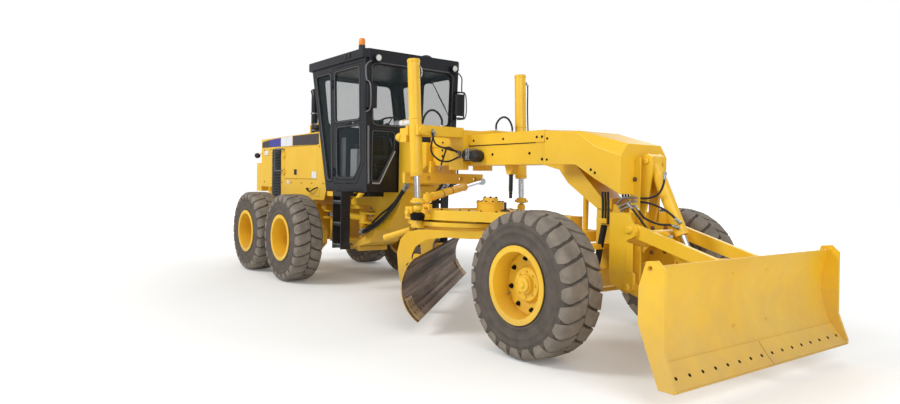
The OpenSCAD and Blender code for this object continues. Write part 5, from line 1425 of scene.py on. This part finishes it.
print("console, wheel, levers and seat base")

# %% [markdown]
# The two seat cushions are foam in a sewn vinyl cover, so they bulge between their seams and are flat only where
# they rest. Each starts as a slightly small rounded block with an even skin. A short cloth run with inner
# pressure swells it, no point moves further than a set distance, and sewn channels are pressed in afterwards.

# %% Cushions swelled as cloth
most_swelling = 0.022


def places_of(mesh):
    """All points of a mesh as one array."""
    flat = np.empty(len(mesh.vertices) * 3)
    mesh.vertices.foreach_get("co", flat)
    return flat.reshape(-1, 3)


def swelled(pad, rest, most):
    """Where the points go under inner pressure, each moved by no more than the given distance."""
    cloth = pad.modifiers.new("cloth", "CLOTH")
    cloth.settings.quality = 4
    cloth.settings.use_pressure = True
    cloth.settings.uniform_pressure_force = 4
    cloth.settings.effector_weights.gravity = 0
    cloth.point_cache.frame_end = 20
    for step in range(1, 21):
        bpy.context.scene.frame_set(step)
    moved = places_of(applied(pad)) - rest
    pad.modifiers.remove(cloth)
    bpy.context.scene.frame_set(1)
    length = np.linalg.norm(moved, axis=1)
    return rest + moved * np.minimum(1, most / np.maximum(length, 1e-9))[:, None]


def cushion(name, low, high, finish_shape):
    """A rounded block with an even skin of 6 mm, swelled, shaped further and smoothed."""
    start = fitted(name + "_start", [block(low, high)], seat_vinyl, None)
    rounding = start.modifiers.new("rounding", "BEVEL")
    rounding.width = 0.030
    rounding.segments = 4
    skin = start.modifiers.new("skin", "REMESH")
    skin.mode = "VOXEL"
    skin.voxel_size = 0.006
    mesh = applied(start)
    bpy.data.objects.remove(start)
    pad = bpy.data.objects.new(name, mesh)
    bpy.context.scene.collection.objects.link(pad)
    rest = places_of(mesh)
    points = swelled(pad, rest, most_swelling)
    mesh.vertices.foreach_set("co", from_axle(finish_shape(points - from_axle([0, 0, 0]))).ravel())
    mesh.polygons.foreach_set("use_smooth", np.ones(len(mesh.polygons), bool))
    mesh.update()
    smooth = pad.modifiers.new("smooth", "SUBSURF")
    smooth.levels = smooth.render_levels = 1
    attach(pad, "front_frame")
    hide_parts("cab_interior")
    print(name, len(mesh.polygons), "faces, moved up to", round(float(np.abs(points - rest).max()) * 1000, 1), "mm")


seam_width = 0.008


def groove(across, lines):
    """1 on a sewn line and 0 away from it: the sum of bells exp(-(distance / seam width)^2)."""
    return sum(np.exp(-((across - line) / seam_width)**2) for line in lines)


def seat_shape(p):
    """The seat: flat below, two sewn lines along it and two across, 7 mm deep in its upper side."""
    x, y, z = p.T
    upper = np.clip((z - 1.900) / 0.03, 0, 1)
    sewn = groove(y, (-0.135, 0.135)) + groove(x, (-4.430, -4.600)) * (np.abs(y) < 0.135)
    return np.column_stack([x, y, np.maximum(z, 1.848) - 0.007 * upper * np.clip(sewn, 0, 1)])


def back_shape(p):
    """The backrest: sewn lines in its front, side parts that stand forward a little, and a lean of six degrees."""
    x, y, z = p.T
    fore = np.clip((x + 4.815) / 0.03, 0, 1)
    sewn = groove(y, (-0.125, 0.125)) + groove(z, (2.150, 2.300, 2.450)) * (np.abs(y) < 0.125)
    x = x + fore * (0.020 * np.clip((np.abs(y) - 0.135) / 0.05, 0, 1) - 0.007 * np.clip(sewn, 0, 1))
    lean = math.radians(6)
    x_from, z_from = x + 4.815, z - 1.960
    return np.column_stack([x_from * math.cos(lean) - z_from * math.sin(lean) - 4.815, y,
                            z_from * math.cos(lean) + x_from * math.sin(lean) + 1.960])


cushion("seat_cushion", [-4.765, -0.230, 1.856], [-4.295, 0.230, 1.940], seat_shape)
cushion("seat_backrest", [-4.850, -0.225, 1.985], [-4.780, 0.225, 2.575], back_shape)

# %% [markdown]
# ## Floor and light
# The floor is a plain pale sheet and the studio light is broad and soft. White behind the machine comes from
# the sky's colour for rays that go straight to the eye, and not from more light on the machine.

# %% Floor, sky and lamps
def seen_directly(tree):
    """1 for rays from the camera or through a window, and 0 for rays that only carry light."""
    straight = add(tree, "LightPath", out="Is Camera Ray")
    through = add(tree, "LightPath", out="Is Transmission Ray")
    return add(tree, "Math", {0: straight, 1: through}, operation="MAXIMUM")


floor_half = 60.0
floor_corners = [(x * floor_half, y * floor_half, -0.002) for x, y in ((-1, -1), (1, -1), (1, 1), (-1, 1))]
floor = piece("floor", [(floor_corners, [(0, 1, 2, 3)])], None, None)
floor_paint, tree, shader, place = new_material("pale_floor")
far = add(tree, "VectorMath", {0: place}, "Value", operation="LENGTH")
paler = add(tree, "MapRange", {"Value": far, "From Min": 3.0, "From Max": 15.0, "To Min": 0.08, "To Max": 0.85})
glow = add(tree, "Math", {0: seen_directly(tree), 1: paler}, operation="MULTIPLY")
feed(tree, shader, {"Base Color": "#e8e8e6", "Roughness": 0.9, "Emission Color": "#ffffff",
                    "Emission Strength": glow})
floor.data.materials[0] = floor_paint

world = bpy.data.worlds.new("studio")
world.use_nodes = True
bpy.context.scene.world = world
tree = world.node_tree
strength = add(tree, "MapRange", {"Value": seen_directly(tree), "To Min": 0.54, "To Max": 1.0})
feed(tree, tree.nodes["Background"], {"Color": "#ffffff", "Strength": strength})


def soft_lamp(name, place, target, width, watts):
    """A square lamp that looks from its place towards a target."""
    data = bpy.data.lights.new(name, "AREA")
    data.shape = "SQUARE"
    data.size = width
    data.energy = watts
    lamp = bpy.data.objects.new(name, data)
    bpy.context.scene.collection.objects.link(lamp)
    back = np.array(place, float) - np.array(target, float)
    back /= np.linalg.norm(back)
    right = np.cross([0, 0, 1.0], back)
    right /= np.linalg.norm(right)
    turn = np.eye(4)
    turn[:3, :3] = np.column_stack([right, np.cross(back, right), back])
    turn[:3, 3] = place
    lamp.matrix_world = Matrix(turn.tolist())


soft_lamp("key_lamp", (-3, -12, 10), (0, 0, 1.2), 5, 1280)
soft_lamp("front_lamp", (12, -4, 6), (1, 0, 1.2), 7, 520)
soft_lamp("back_lamp", (0, 10, 8), (0, 0, 1.5), 7, 340)

scene = bpy.context.scene
scene.view_settings.view_transform = "Standard"
